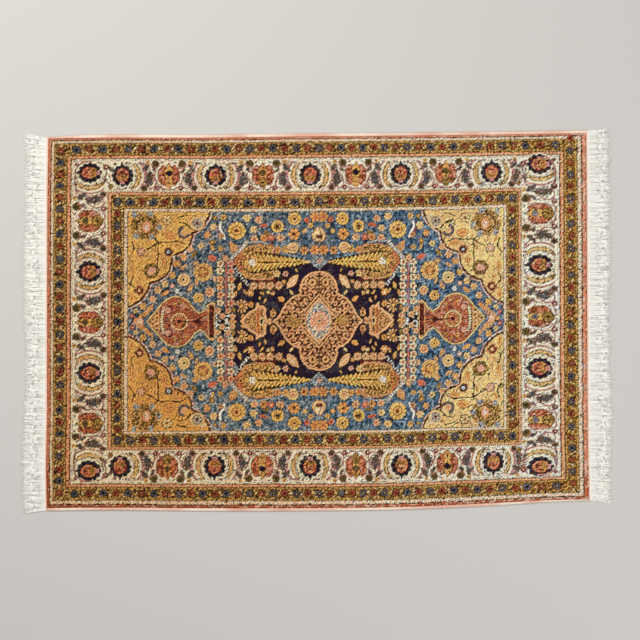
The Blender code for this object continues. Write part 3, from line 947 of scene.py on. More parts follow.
SPANDREL_FLOWERS = (
    (149.1, 101.6, 4.4, 0, "blossom straw olive brown"), (119.2, 98.4, 5.6, 0, "blossom grey wine straw"),
    (113.0, 104.0, 3.4, 30, "leaf cream brown tan"),
    (146.7, 86.4, 6.6, 12, "leaf orange brown brown", {"width": 0.6}), (133.0, 88.4, 7.6, 140, "arc_leaf"),
    (147.3, 69.6, 4.4, 0, "blossom maroon sky tan"), (174.8, 70.0, 3.8, 0, "blossom pink straw wine"),
    (164.7, 50.8, 6.4, 0, "blossom olive pink moss", {"eye": 0.56}),
    (176.6, 31.4, 4.6, 0, "blossom wine peach tan", {"petals": 4}),
    (151.5, 58.4, 5.2, 86, "leaf orange brown olive"), (138.6, 76.6, 5.6, 6, "leaf orange brown tan"),
    (183.0, 52.0, 5.4, 88, "leaf orange brown tan"), (184.0, 24.0, 5.0, 95, "leaf orange brown gold"),
    (161.0, 71.0, 3.4, 75, "leaf tan brown gold"), (178.6, 41.4, 3.0, 30, "leaf orange brown gold"),
    (159.4, 92.6, 4.0, 70, "leaf tan brown gold"), (126.0, 103.4, 3.2, 10, "leaf tan"),
    (180.4, 78.6, 3.6, 60, "leaf orange brown gold"),
)
SPANDREL_STEMS = (
    ((131.0, 77.6), (138.0, 80.4), (146.0, 79.6), (157.6, 79.2), (163.0, 75.6), (169.0, 72.6)),
    ((157.4, 78.0), (158.2, 72.0), (157.6, 66.0), (158.4, 60.0), (158.0, 54.0)),
    ((158.4, 80.0), (162.4, 84.4), (163.0, 90.0)),
    ((112.6, 92.6), (120.0, 91.2), (126.0, 93.6), (130.4, 98.0), (137.0, 99.4)),
    ((128.6, 106.4), (134.0, 105.6), (139.0, 103.6)),
    ((182.6, 46.0), (185.0, 38.0), (181.4, 34.0)),
    ((186.0, 66.0), (182.0, 72.0), (183.6, 80.0)),
)


def lay_flowers(chart, table):
    for x, y, size, turn, look, *more in table:
        four_ways(chart, look, x, y, turn, size=size, **(more[0] if more else {}))


def blue_stems(chart):
    """Thin dark stems that carry the flowers of the blue ground, and the white and red curl beside the
    corner."""
    for points in (
        ((98.0, 74.0), (108.0, 67.0), (120.0, 70.0), (130.0, 60.0), (136.0, 50.0)),
        ((122.0, 42.0), (122.0, 34.0), (130.0, 30.0), (140.0, 36.0), (150.0, 33.0)),
        ((46.0, 88.0), (40.0, 78.0), (28.0, 80.0), (14.0, 84.0)),
        ((166.0, 26.0), (172.0, 20.0), (178.0, 12.0), (183.0, 3.0)),
        ((58.0, 106.0), (66.0, 98.0), (76.0, 100.0), (88.0, 101.0), (98.0, 106.0)),
        ((14.0, 106.0), (18.0, 98.0), (30.0, 94.0), (34.0, 86.0)),
        ((100.0, 36.0), (110.0, 38.0), (118.0, 46.0), (116.0, 58.0)),
        ((112.0, 16.0), (104.0, 22.0), (100.0, 30.0), (102.0, 38.0)),
    ):
        four_lines(chart, flowing(points, 5), 1.1, "teal", 0.50)
    four_lines(chart, flowing(((96.4, 98.6), (96.8, 93.0), (94.0, 88.0), (92.4, 83.4)), 4), 2.0, "white")
    four_lines(chart, flowing(((98.4, 97.0), (99.0, 91.0), (96.4, 86.0)), 4), 1.4, "wine", 1.2)


def ladders(chart):
    """Two columns of small pale flowers either side of a red stem, at each end of the navy field, and
    between them black and white curls."""
    draw = np.random.default_rng(51)
    for way in (1, -1):
        for up in (1, -1):
            part, x, y = chart.near(way * 94.0, up * 6.0, 13.0)
            close = (np.abs(x) < 9.5) & (np.abs(y) < 7.0)
            dye(part, close & (part.coarse > -0.5), "black")
            scroll = curls(x, y, 6.6, 5.2, 67)
            dye(part, close & (scroll > 0.72), "white", 0.94)
            line(chart, [(way * 91.1, up * 13.5), (way * 91.1, up * 60.0)], 1.3, "coral", 0.82)
            for column, tone in ((86.1, "pink"), (96.4, "cream")):
                for k in range(6):
                    y = up * (18.8 + 7.85 * k + draw.uniform(-0.4, 0.4))
                    x = way * (column + draw.uniform(-0.4, 0.4))
                    light = "cream" if way > 0 else draw.choice(("cream", "peach", tone))
                    place(chart, "blossom " + light + " coral bark", x, y, 3.5, petals=5, eye=0.46)
            for x, y in ((91.6, 62.8), (88.6, 10.8), (99.4, 10.8), (94.6, 5.4), (84.6, 5.0)):
                place(chart, "blossom peach coral bark", way * x, up * y, 2.9, petals=5)
        place(chart, "leaf orange bark black", way * 84.6, 0.0, 4.4)
        place(chart, "leaf white black black", way * 90.4, 0.0, 3.0, 90)


def dashed(chart, start, finish, ground, width):
    """A line of short slanting white dashes, uneven in size, on another yarn, in all four quarters."""
    draw = np.random.default_rng(55)
    start, finish = np.array(start), np.array(finish)
    four_lines(chart, (start, finish), width, ground)
    length = np.hypot(*(finish - start))
    aim = (finish - start) / length
    cross = np.array((-aim[1], aim[0]))
    count = int(length / 2.7)
    for k in range(count):
        spot = start + aim * (k + 0.5) * length / count + cross * draw.uniform(-0.4, 0.4)
        slant = cross * draw.uniform(0.5, 1.3) + aim * draw.uniform(-0.4, 1.0)
        four_lines(chart, (spot - slant, spot + slant), draw.uniform(0.7, 1.1), "white")


def centre(chart):
    """Everything on the navy ground: cypresses in their thickets, flowers, the medallion and its pendants."""
    for way in (1, -1):
        for up in (1, -1):
            bearing = 180 if way > 0 else 0
            place(chart, "foliage", way * 63.0, up * 59.2, 1.0, bearing)
            place(chart, "cypress", way * 36.5, up * 59.2, 1.0, bearing)
            place(chart, "blossom white straw", way * 65.4, up * 59.2, 3.2)
            place(chart, "blossom yellow orange", way * 70.6, up * 59.2, 2.4)
    four_lines(chart, arc((42.0, 76.6), (14.0, 68.6), 1.2), 0.8, "black")
    four_lines(chart, flowing(((50.0, 77.6), (60.0, 80.4), (70.0, 79.0)), 4), 1.2, "sky", 0.98)
    dashed(chart, (68.8, 35.2), (82.4, 54.4), "black", 4.0)
    dashed(chart, (70.4, 79.6), (86.0, 62.6), "grey", 3.4)
    lay_flowers(chart, NAVY_FLOWERS)
    for u in (39.4, 47.8, 55.8, 63.8):
        four_ways(chart, "blossom peach coral brown", u, 35.7, size=3.7, petals=8)
    for u in (43.6, 51.8, 59.8):
        four_ways(chart, "blossom maroon wine", u, 40.6, size=1.4)
    four_ways(chart, "leaf peach cream brown", 26.0, 39.6, 128, size=8.6, width=0.42)
    for up in (1, -1):
        part, x, y = chart.near(0, up * 60.0, 12)
        dye_in(part, np.abs(x) * 0.9 + np.abs(y) < 8.6, ("slate", 1.05), ("sky", 1.0, part.fine > 0.3))
        place(chart, "blossom pink slate", 0.5, up * 59.5, 2.4, petals=4)
    for way in (1, -1):
        place(chart, "pendant", way * 61.6, 0, 0.95, 0 if way > 0 else 180)
        place(chart, "blossom peach coral brown", way * 48.2, 0, 3.2, petals=4)
    place(chart, "medallion", 0, 0)


@reach(17)
def bronze_palmette(part, x, y):
    """The big olive palmette of each corner: a ragged round, flecked with gold and green, with a pink drop
    inside and pale blue spots about it."""
    fine, coarse = part.fine, part.coarse
    r, a = np.hypot(x / 1.08, y), np.arctan2(y, x)
    ragged = 1.1 * np.abs(np.cos(5 * a + 0.6)) + 0.9 * coarse + 0.9 * fine
    dye(part, r < 12.8 + ragged, "brown", 1.1)
    dye_in(part, r < 12.0 + ragged, ("olive", 1.0), ("gold", 0.90, fine > 0.40), ("moss", 0.95, fine < -0.15),
           ("peach", 0.92, (coarse > 0.45) & (fine > 0.0)))
    dye(part, (np.abs(r - 8.4) < 0.7) & (coarse > -0.3), "bark", 1.3)
    drop = np.hypot((x + 1.5) / 4.0, (y + 1.0) / 6.0) + 0.1 * fine
    dye(part, drop < 1.2, "brown", 1.2)
    dye(part, drop < 1.0, "orange", 0.98)
    dye(part, (drop < 0.85) & (fine > -0.2), "pink", 1.05)
    dye(part, (drop < 0.5) & (fine > 0.1), "white", 0.98)
    for spot in ((11.0, 11.6), (-5.6, 12.0), (-14.0, -1.4), (-7.0, -10.6), (9.0, -10.2)):
        blue = np.hypot(x - spot[0], y - spot[1]) + 1.1 * fine
        dye(part, blue < 2.8, "sky", 0.94)
        dye(part, (blue < 2.4) & (fine < -0.05), "slate", 0.72)


# How much each yarn stands out from those within so many knots of it, and how much single knots and tufts
# differ.
SET_OFF = ((6, 0.62), (3, 0.52))
KNOT_GRAIN = 0.14
TUFT_GRAIN = 0.18

# Painted sheen and shade, for light on the leaning pile: how red, green and blue are scaled at the west and
# east ends and in the south-west corner, and what is added at each end, painted shade at the west and a pale
# painted haze at the east.
WEST_LIGHT = np.array((0.985, 1.02, 0.98))
EAST_LIGHT = np.array((1.05, 1.11, 1.12))
SOUTH_WEST_LIGHT = np.array((1.00, 0.97, 0.92))
WEST_SHADE = np.array((-5.0, -9.0, -8.0))
EAST_SHADE = np.array((5.0, -3.0, -5.0))
LIGHTNESS = np.array((0.30, 0.59, 0.11), np.float32)


def grain_and_painted_sheen(colour):
    """The drawn colours as the pile shows them.

    Single knots and tufts are lighter or darker, most of all in the dark yarns. Wefts of one dye lot make
    faint bands across the rug. Each yarn stands out in lightness from the mean of those round it, since the
    cut tufts shade each other. Last comes painted sheen and shade, for light on the leaning pile: the colours
    are made paler towards the east and warmest in the south-west.
    """
    rows, columns, _ = colour.shape
    lightness = np.clip(colour @ LIGHTNESS / 255.0, 0, 1)
    knot = np.random.default_rng(7).normal(0.0, 1.0, (rows, columns)).astype(np.float32)
    grain = (KNOT_GRAIN * knot + TUFT_GRAIN * mottle(rows, columns, 4.4, 8)) * (1.3 - 0.85 * lightness)
    grain = grain + 0.07 * mottle(rows, columns, 60, 9)
    lots = 0.035 * mottle(4, columns, 9, 10)[:1] + 0.03 * mottle(4, columns, 40, 12)[:1]
    warmth = 0.06 * mottle(rows, columns, 4.8, 11)[..., None] * (1.0, 0.1, -1.0)
    colour = np.clip(colour * (1 + grain + lots)[..., None] * (1 + warmth), 6, 255)

    lightness = colour @ LIGHTNESS
    gain = np.ones_like(lightness)
    for reach, share in SET_OFF:
        padded = np.pad(lightness, (reach + 1, reach), mode="edge").astype(np.float64)
        total = padded.cumsum(axis=0).cumsum(axis=1)
        step = 2 * reach + 1
        box = total[step:, step:] - total[:-step, step:] - total[step:, :-step] + total[:-step, :-step]
        mean = box / step**2
        gain = gain + share * (lightness - mean) / (0.5 * lightness + 0.5 * mean + 14.0)
    room = 250.0 / colour.max(axis=-1)
    colour = colour * np.clip(gain, 0.30, np.clip(room, 1.0, 1.5))[..., None]

    # Painted sheen and shade: paler towards the east, warmer towards the south-west.
    east = ease(np.linspace(-0.1, 1.1, columns))[None, :, None]
    south = ease(np.linspace(1.0, -0.2, rows))[:, None, None]
    painted_sheen = WEST_LIGHT * (1 - east) + EAST_LIGHT * east
    painted_sheen = painted_sheen * (1 + (SOUTH_WEST_LIGHT - 1) * (1 - east) * south)
    return np.clip(colour * painted_sheen + WEST_SHADE * (1 - east) + EAST_SHADE * east, 4, 255).astype(np.float32)


def draw_rug():
    """The whole chart, in the order in which one thing lies over another."""
    chart = Chart()
    border_ground(chart)
    guard_flowers(chart)
    main_border(chart)
    field_ground(chart)
    blue_stems(chart)
    for points in SPANDREL_STEMS:
        four_lines(chart, flowing(points, 5), 1.6, "black")
    lay_flowers(chart, SPANDREL_FLOWERS)
    four_ways(chart, "bronze_palmette", 170.8, 95.6)
    lay_flowers(chart, BLUE_FLOWERS)
    ladders(chart)
    centre(chart)
    for way in (1, -1):
        place(chart, "vase", way * 137.4, 0, 1.0, 0 if way > 0 else 180)
    chart.colour = grain_and_painted_sheen(chart.colour)
    return chart
# End of the chart.


# How the rug lies.

# The heights of the pieces, the gap that touching pieces keep and the width of the flat-woven strip, as in
# the part.
PILE_HEIGHT = 0.005
SELVEDGE_HEIGHT = 0.0046
FRINGE_HEIGHT = 0.0026
GAP = 0.0003
KILIM_WIDTH = 0.010
HALF_LENGTH = 0.776

# The part's tables of its long sides and of its ends, in metres from the point that it is drawn from.
SIDES = {
    "along": (-HALF_LENGTH, -0.700, -0.624, -0.336, -0.049, 0.238, 0.526, 0.680, HALF_LENGTH),
    "north": (0.5290, 0.5345, 0.5366, 0.5368, 0.5402, 0.5428, 0.5460, 0.5484, 0.5497),
    "south": (0.5445, 0.5435, 0.5430, 0.5448, 0.5448, 0.5411, 0.5284, 0.5185, 0.5149),
    "north_cord": (0.0036, 0.0075, 0.0088, 0.0088, 0.0088, 0.0088, 0.0088, 0.0086, 0.0084),
    "south_cord": (0.0080, 0.0080, 0.0080, 0.0080, 0.0080, 0.0078, 0.0076, 0.0056, 0.0036),
}
ENDS = {
    "across": (-0.545, -0.398, -0.283, -0.150, 0.004, 0.150, 0.349, 0.545),
    "west": (0.7770, 0.7787, 0.7764, 0.7762, 0.7761, 0.7757, 0.7750, 0.7724),
    "east": (0.7818, 0.7790, 0.7775, 0.7765, 0.7761, 0.7755, 0.7747, 0.7732),
    "west_reach": (0.000, 0.003, 0.002, -0.005, -0.001, 0.004, -0.003, 0.002),
    "east_reach": (-0.001, 0.001, 0.003, 0.000, -0.002, 0.001, 0.001, -0.002),
}

# How the drawing is stretched along the rug: place in the drawing, and how far east of it that place lies, in
# squares.
STRETCH = {
    "drawn": (-268.3, -259.5, -249.5, -243.3, -209.8, -202.7, -193.3, -187.5, -137.4, -61.8, 0.0, 61.8, 137.4,
              187.5, 193.3, 202.7, 209.8, 243.3, 249.5, 259.5, 268.3),
    "east": (-1.65, -2.85, -2.85, -2.25, -0.75, -1.35, -1.75, -1.25, -1.0, 0.5, 2.15, 0.5, -1.0, -1.45,
             -2.35, -2.95, -4.45, -1.25, -0.35, -0.55, 1.65),
}

# How the border is stretched across the rug: distance in from the edge in the drawing, and on the two sides.
BORDER_LIES = {
    "drawn": (0.0, 3.0, 4.1, 7.0, 8.8, 18.8, 25.0, 58.5, 65.6, 75.0, 80.8),
    "north": (3.16, 4.7, 5.7, 8.0, 9.5, 19.1, 24.9, 56.2, 62.4, 72.3, 77.5),
    "south": (3.16, 5.6, 6.7, 10.0, 12.4, 22.0, 27.5, 60.3, 65.6, 75.6, 79.9),
}

# How far the field's two long sides lie from the line through its middle, by place along the drawing.
FIELD_LIES = {
    "drawn": (-187.0, -67.0, 0.0, 83.0, 133.0, 186.0),
    "north": (109.2, 109.1, 109.7, 110.7, 111.5, 113.3),
    "south": (109.8, 108.7, 108.5, 107.7, 105.9, 105.0),
}

# Where an end's sway begins, where that end's table is neutral, and how far in the border follows the cord.
SWAY_BEGINS = 170.0
PLAIN_END = 0.7761
RIM_FADES = 20.0


def eased(at, stations, values):
    """A smooth curve through a table: cubic pieces whose slope at each station is that of its two
    neighbours."""
    stations, values = np.asarray(stations, float), np.asarray(values, float)
    slopes = np.gradient(values, stations)
    at = np.clip(at, stations[0], stations[-1])
    i = np.clip(np.searchsorted(stations, at, side="right") - 1, 0, len(stations) - 2)
    step = stations[i + 1] - stations[i]
    t = (at - stations[i]) / step
    return (
        values[i] * (2 * t**3 - 3 * t**2 + 1)
        + values[i + 1] * (3 * t**2 - 2 * t**3)
        + slopes[i] * step * (t**3 - 2 * t**2 + t)
        + slopes[i + 1] * step * (t**3 - t**2)
    )


def side(column, along):
    return eased(along, SIDES["along"], SIDES[column])


def end(column, across):
    return eased(across, ENDS["across"], ENDS[column])


def side_lies(edge, x, u, v):
    """How far from the middle line a place of the drawing lies, on one side: straight from the middle to
    the field's edge, and from there by the border's table, whose start meets the side cord."""
    outer = side(edge, x) / SQUARE
    field = eased(u, FIELD_LIES["drawn"], FIELD_LIES[edge])
    table = BORDER_LIES[edge]
    inward = np.interp(HALF_WIDE - v, BORDER_LIES["drawn"], table) * (outer - field) / table[-1]
    cord = (side(edge + "_cord", x) + GAP) / SQUARE
    rim = 1.0 - ease((HALF_WIDE - v) / RIM_FADES)
    lies = outer - inward - rim * (cord - table[0] * (outer - field) / table[-1])
    return np.where(v > FIELD_WIDE, lies, 0), field


def lie(u, v):
    """Where places of the drawing, in squares, lie in the part's plan, in metres.

    Along the rug a place moves by the stretch table, and near each end by that end's sway. Across it, the
    field is spread evenly between its two lying sides, and the border follows its own table out to the cord.
    """
    x = (u + np.interp(u, STRETCH["drawn"], STRETCH["east"])) * SQUARE
    near_end = ease((np.abs(u) - SWAY_BEGINS) / (HALF_LONG - SWAY_BEGINS))
    sway = np.where(u < 0, PLAIN_END - end("west", v * SQUARE), end("east", v * SQUARE) - PLAIN_END)
    x = x + near_end * sway
    north, north_field = side_lies("north", x, u, v)
    south, south_field = side_lies("south", x, u, -v)
    middle, half = (north_field - south_field) / 2, (north_field + south_field) / 2
    y = np.where(v > FIELD_WIDE, north, np.where(v < -FIELD_WIDE, -south, middle + v / FIELD_WIDE * half))
    return x, y * SQUARE


def pile_box():
    """The lowest and highest corner of the pile as the part's tables give it, before the part was centred."""
    steps = 400
    along = np.linspace(-HALF_LONG, HALF_LONG, steps)
    across = np.linspace(-HALF_WIDE, HALF_WIDE, steps)
    edges = [lie(along, np.full(steps, way * HALF_WIDE)) for way in (-1, 1)]
    edges += [lie(np.full(steps, way * HALF_LONG), across) for way in (-1, 1)]
    points = np.concatenate([np.column_stack(e) for e in edges])
    return points.min(axis=0), points.max(axis=0)


# Where the part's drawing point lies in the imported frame: both give the same middle to the pile's box.
node_low, node_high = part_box("rug_pile")
drawn_low, drawn_high = pile_box()
SHIFT = (np.array(node_low[:2]) + np.array(node_high[:2])) / 2 - (drawn_low + drawn_high) / 2


# Meshes.


def new_piece(name, points, faces, material, colours=None, tints=None, smooth=True):
    """A mesh object from arrays, with a colour for each face corner, or a tint for each point, where one
    is given."""
    mesh = bpy.data.meshes.new(name)
    mesh.from_pydata(points.tolist(), [], faces)
    mesh.polygons.foreach_set("use_smooth", [smooth] * len(mesh.polygons))
    if tints is not None:
        corner = np.empty(len(mesh.loops), np.int32)
        mesh.loops.foreach_get("vertex_index", corner)
        colours = np.asarray(tints)[corner]
    if colours is not None:
        layer = mesh.color_attributes.new("yarn", "FLOAT_COLOR", "CORNER")
        opaque = np.column_stack((colours, np.ones(len(colours))))
        layer.data.foreach_set("color", opaque.astype(np.float32).ravel())
    mesh.materials.append(material)
    piece = bpy.data.objects.new(name, mesh)
    bpy.context.scene.collection.objects.link(piece)
    return piece


def linear(colour):
    """Red, green and blue from 0 to 255 as seen, to the light that a shader takes."""
    c = np.clip(np.asarray(colour, np.float32) / 255.0, 0.0, 1.0)
    return np.where(c <= 0.04045, c / 12.92, ((c + 0.055) / 1.055) ** 2.4)


def grid_faces(rows, columns, wrap=False):
    """Quads over a grid of points stored row by row, joined round each row where it wraps."""
    r, c = np.meshgrid(np.arange(rows - 1), np.arange(columns if wrap else columns - 1), indexing="ij")
    here, after = r * columns + c, r * columns + (c + 1) % columns
    return np.stack((here, after, after + columns, here + columns), axis=-1).reshape(-1, 4)


def round_edge(index):
    """The points of a grid's edge in turn, each once."""
    return np.concatenate((index[0, :-1], index[:-1, -1], index[-1, :0:-1], index[:0:-1, 0]))


# How much darker the shader takes a yarn than it is seen, since the lamps are strong.
PILE_SHADE = 0.77


def knot_colours(chart):
    """For each corner of each face of the pile's top, a light that gives each quarter of the face its knots'
    mean.

    The shader blends the four corners, so that the middle of a quarter shows three parts of its own corner
    and one of the other, each way. The corner is therefore set off from its neighbour by half their
    difference, each way.
    """
    half = KNOTS_TO_A_FACE // 2
    quarters = linear(chart.colour).reshape(FACES_WIDE, 2, half, FACES_LONG, 2, half, 3)
    light = quarters.mean(axis=(2, 5)) * PILE_SHADE
    light = light + 0.5 * (light - light[:, ::-1])
    light = light + 0.5 * (light - light[:, :, :, ::-1])
    light = np.clip(light, 0.004, 1.0)
    corners = (light[:, 0, :, 0], light[:, 0, :, 1], light[:, 1, :, 1], light[:, 1, :, 0])
    return np.stack(corners, axis=2).reshape(-1, 3)


# The pile's outermost row is lower by its shoulder, and its wall goes in by its foot. Its top lies a little
# under the part's, by more than it swells.
PILE_SHOULDER = 0.0011
PILE_FOOT = 0.0005
PILE_UNDER = 0.00022


def pile_piece(material):
    """The pile as a closed slab. Its top is a grid that follows the drawing, with a slow swell of a fifth
    of a millimetre and a lower outermost row. Its wall goes down from there and in a little, to one flat
    face beneath."""
    u = np.linspace(-HALF_LONG, HALF_LONG, FACES_LONG + 1)
    v = np.linspace(-HALF_WIDE, HALF_WIDE, FACES_WIDE + 1)
    uu, vv = np.meshgrid(u, v)
    x, y = lie(uu, vv)
    swell = 0.00016 * mottle(FACES_WIDE + 1, FACES_LONG + 1, 42, 61)
    swell += 0.00010 * mottle(FACES_WIDE + 1, FACES_LONG + 1, 14, 62)
    z = PILE_HEIGHT - PILE_UNDER + swell
    rim = np.ones(x.shape, bool)
    rim[1:-1, 1:-1] = False
    z[rim] -= PILE_SHOULDER
    top = np.stack((x + SHIFT[0], y + SHIFT[1], z), axis=-1).reshape(-1, 3)

    index = np.arange(top.shape[0]).reshape(x.shape)
    ring = round_edge(index)
    around = len(ring)
    rim_at = top[ring, :2]
    inward = -np.sign(rim_at) * (np.abs(rim_at) > np.abs(rim_at).max(axis=0) * 0.93)
    foot = top[ring].copy()
    foot[:, 2] = PILE_FOOT
    sole = foot.copy()
    sole[:, :2] += inward * PILE_FOOT
    sole[:, 2] = 0.0
    points = np.concatenate((top, foot, sole))

    faces = grid_faces(FACES_WIDE + 1, FACES_LONG + 1)
    here, there = np.arange(around), (np.arange(around) + 1) % around
    low, low_next = len(top) + here, len(top) + there
    bottom, bottom_next = low + around, low_next + around
    wall = np.column_stack((low, low_next, ring[there], ring))
    hem = np.column_stack((bottom, bottom_next, low_next, low))
    tops = knot_colours(draw_rug())
    edge = np.tile(linear(YARN["salmon"]), (4 * 2 * around, 1))
    back = np.tile(linear(BACK), (around, 1))
    everything = faces.tolist() + wall.tolist() + hem.tolist() + [bottom[::-1].tolist()]
    return new_piece("rug_knotted_pile", points, everything, material, np.concatenate((tops, edge, back)))


def tubes(paths, radii, sides, flat=1.0):
    """Closed tubes along many paths at once: points and faces. Each ring is the circle r (cos a, sin a)
    set square to its path, lower than it is wide where flat is under 1, and both ends are closed by a flat
    face."""
    count, steps, _ = paths.shape
    ahead = np.gradient(paths, axis=1)
    ahead /= np.linalg.norm(ahead, axis=-1, keepdims=True)
    beside = np.cross((0.0, 0.0, 1.0), ahead)
    beside /= np.linalg.norm(beside, axis=-1, keepdims=True)
    over = np.cross(ahead, beside)
    a = np.linspace(0, 2 * math.pi, sides, endpoint=False)
    ring = np.cos(a)[:, None] * beside[:, :, None] + flat * np.sin(a)[:, None] * over[:, :, None]
    points = paths[:, :, None] + radii[:, :, None, None] * ring
    starts = np.arange(count) * steps * sides
    quads = (grid_faces(steps, sides, wrap=True)[None] + starts[:, None, None]).reshape(-1, 4)
    first = starts[:, None] + np.arange(sides)[::-1]
    last = starts[:, None] + (steps - 1) * sides + np.arange(sides)
    return points.reshape(-1, 3), quads.tolist() + first.tolist() + last.tolist()


def joined(*shapes):
    """Points and faces of several shapes as one."""
    points, faces, start = [], [], 0
    for shape_points, shape_faces in shapes:
        points.append(shape_points)
        faces += [[i + start for i in face] for face in shape_faces]
        start += len(shape_points)
    return np.concatenate(points), faces


# The overcast side cords: the pitch of the wrapped yarn, how deep it furrows the cord, and the groove between
# the cord's two bundles.
WRAP_PITCH = 0.0019
WRAP_DEPTH = 0.00022
CORD_GROOVE = 0.16
CORD_SIDES = 12
RINGS_TO_A_WRAP = 5


def selvedge_piece(edge, up, material):
    """A long side's cord. Its section is a superellipse with a shallow groove along the top, and wrapped
    yarn furrows it: the section shrinks by |cos| of the place along the cord, leaning by one wrap round
    it."""
    first = -end("west", up * side(edge, -HALF_LENGTH))
    last = end("east", up * side(edge, HALF_LENGTH))
    rings = int((last - first) / WRAP_PITCH * RINGS_TO_A_WRAP)
    x = np.linspace(first, last, rings)[:, None]
    a = np.linspace(0, 2 * math.pi, CORD_SIDES, endpoint=False)[None, :]
    width = side(edge + "_cord", x)
    across, height = np.cos(a), np.sin(a)
    wrap = np.abs(np.cos(math.pi * (x / WRAP_PITCH + a / (2 * math.pi) * 2)))
    shrink = 1 - WRAP_DEPTH * (1 - wrap) / (width / 2)
    groove = 1 - CORD_GROOVE * np.exp(-((across / 0.3) ** 2)) * (height > 0)
    y = up * (side(edge, x) - width / 2) + width / 2 * np.sign(across) * np.abs(across) ** 0.8 * shrink
    z = SELVEDGE_HEIGHT / 2 * (1 + np.sign(height) * np.abs(height) ** 0.8 * shrink * groove)
    x = np.broadcast_to(x, y.shape)
    points = np.stack((x + SHIFT[0], y + SHIFT[1], z), axis=-1).reshape(-1, 3)
    faces = grid_faces(rings, CORD_SIDES, wrap=True)[:, ::-1].tolist()
    faces += [list(range(CORD_SIDES)), list(range(len(points) - CORD_SIDES, len(points)))[::-1]]
    draw = np.random.default_rng(71 + up)
    wraps = draw.normal(0.0, 0.05, rings // RINGS_TO_A_WRAP + 3)
    # Painted shade: each wrap is darker in its furrow and lighter on its crest.
    tone = 0.92 + 0.10 * wrap + wraps[(np.arange(rings) // RINGS_TO_A_WRAP)][:, None]
    slow = mottle(rings, CORD_SIDES, 160, 73 + up)
    mix = ease(0.35 + 0.5 * slow)[..., None]
    tints = (linear(CORD_PALE) * (1 - mix) + linear(CORD_PINK) * mix) * tone[..., None]
    tints = np.clip(tints, 0, 1).reshape(-1, 3)
    piece = new_piece("overcast_cord_" + edge, points, faces, material, tints=tints)
    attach(piece, "root")
    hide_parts("selvedge_" + edge)
    return piece


# The fringe, as in the part: how far the strands reach, how much each differs, and how they lean at the
# corners.
STRAND_REACH = 0.0615
STRAND_UNEVEN = 0.0034
CORNER_FLARE = {
    "west": {"south": 0.0090, "north": 0.0140},
    "east": {"south": 0.0130, "north": 0.0060},
}
FLARE_FADE = 8

# Its yarns: bunches along an end, yarns in a bunch above and below, their thickness, where the knots lie, and
# how much of the strip shows before them.
BUNCHES = 92
YARNS_ABOVE = 9
YARNS_BELOW = 4
YARN_RADIUS = 0.00062
KNOT_AT = {"west": 0.50, "east": 0.62}
STRIP_SHOWS = 0.0036

# Painted shadows: short dark ticks where yarns lie close and shade each other: how long and how wide such a
# tick is, and how many places each way have their own draw.
SHADOW_TICK_LONG = 0.0034
SHADOW_TICK_WIDE = 0.0062
SHADOW_TICK_TABLE = 97

# A fringe's knots: how wide a bunch is there, half a knot's length, its middle's height, and the rings of its
# mesh.
KNOT_PINCH = 0.92
KNOT_HALF_LONG = 0.0024
KNOT_MIDDLE = 0.0017
KNOT_STEPS = 7


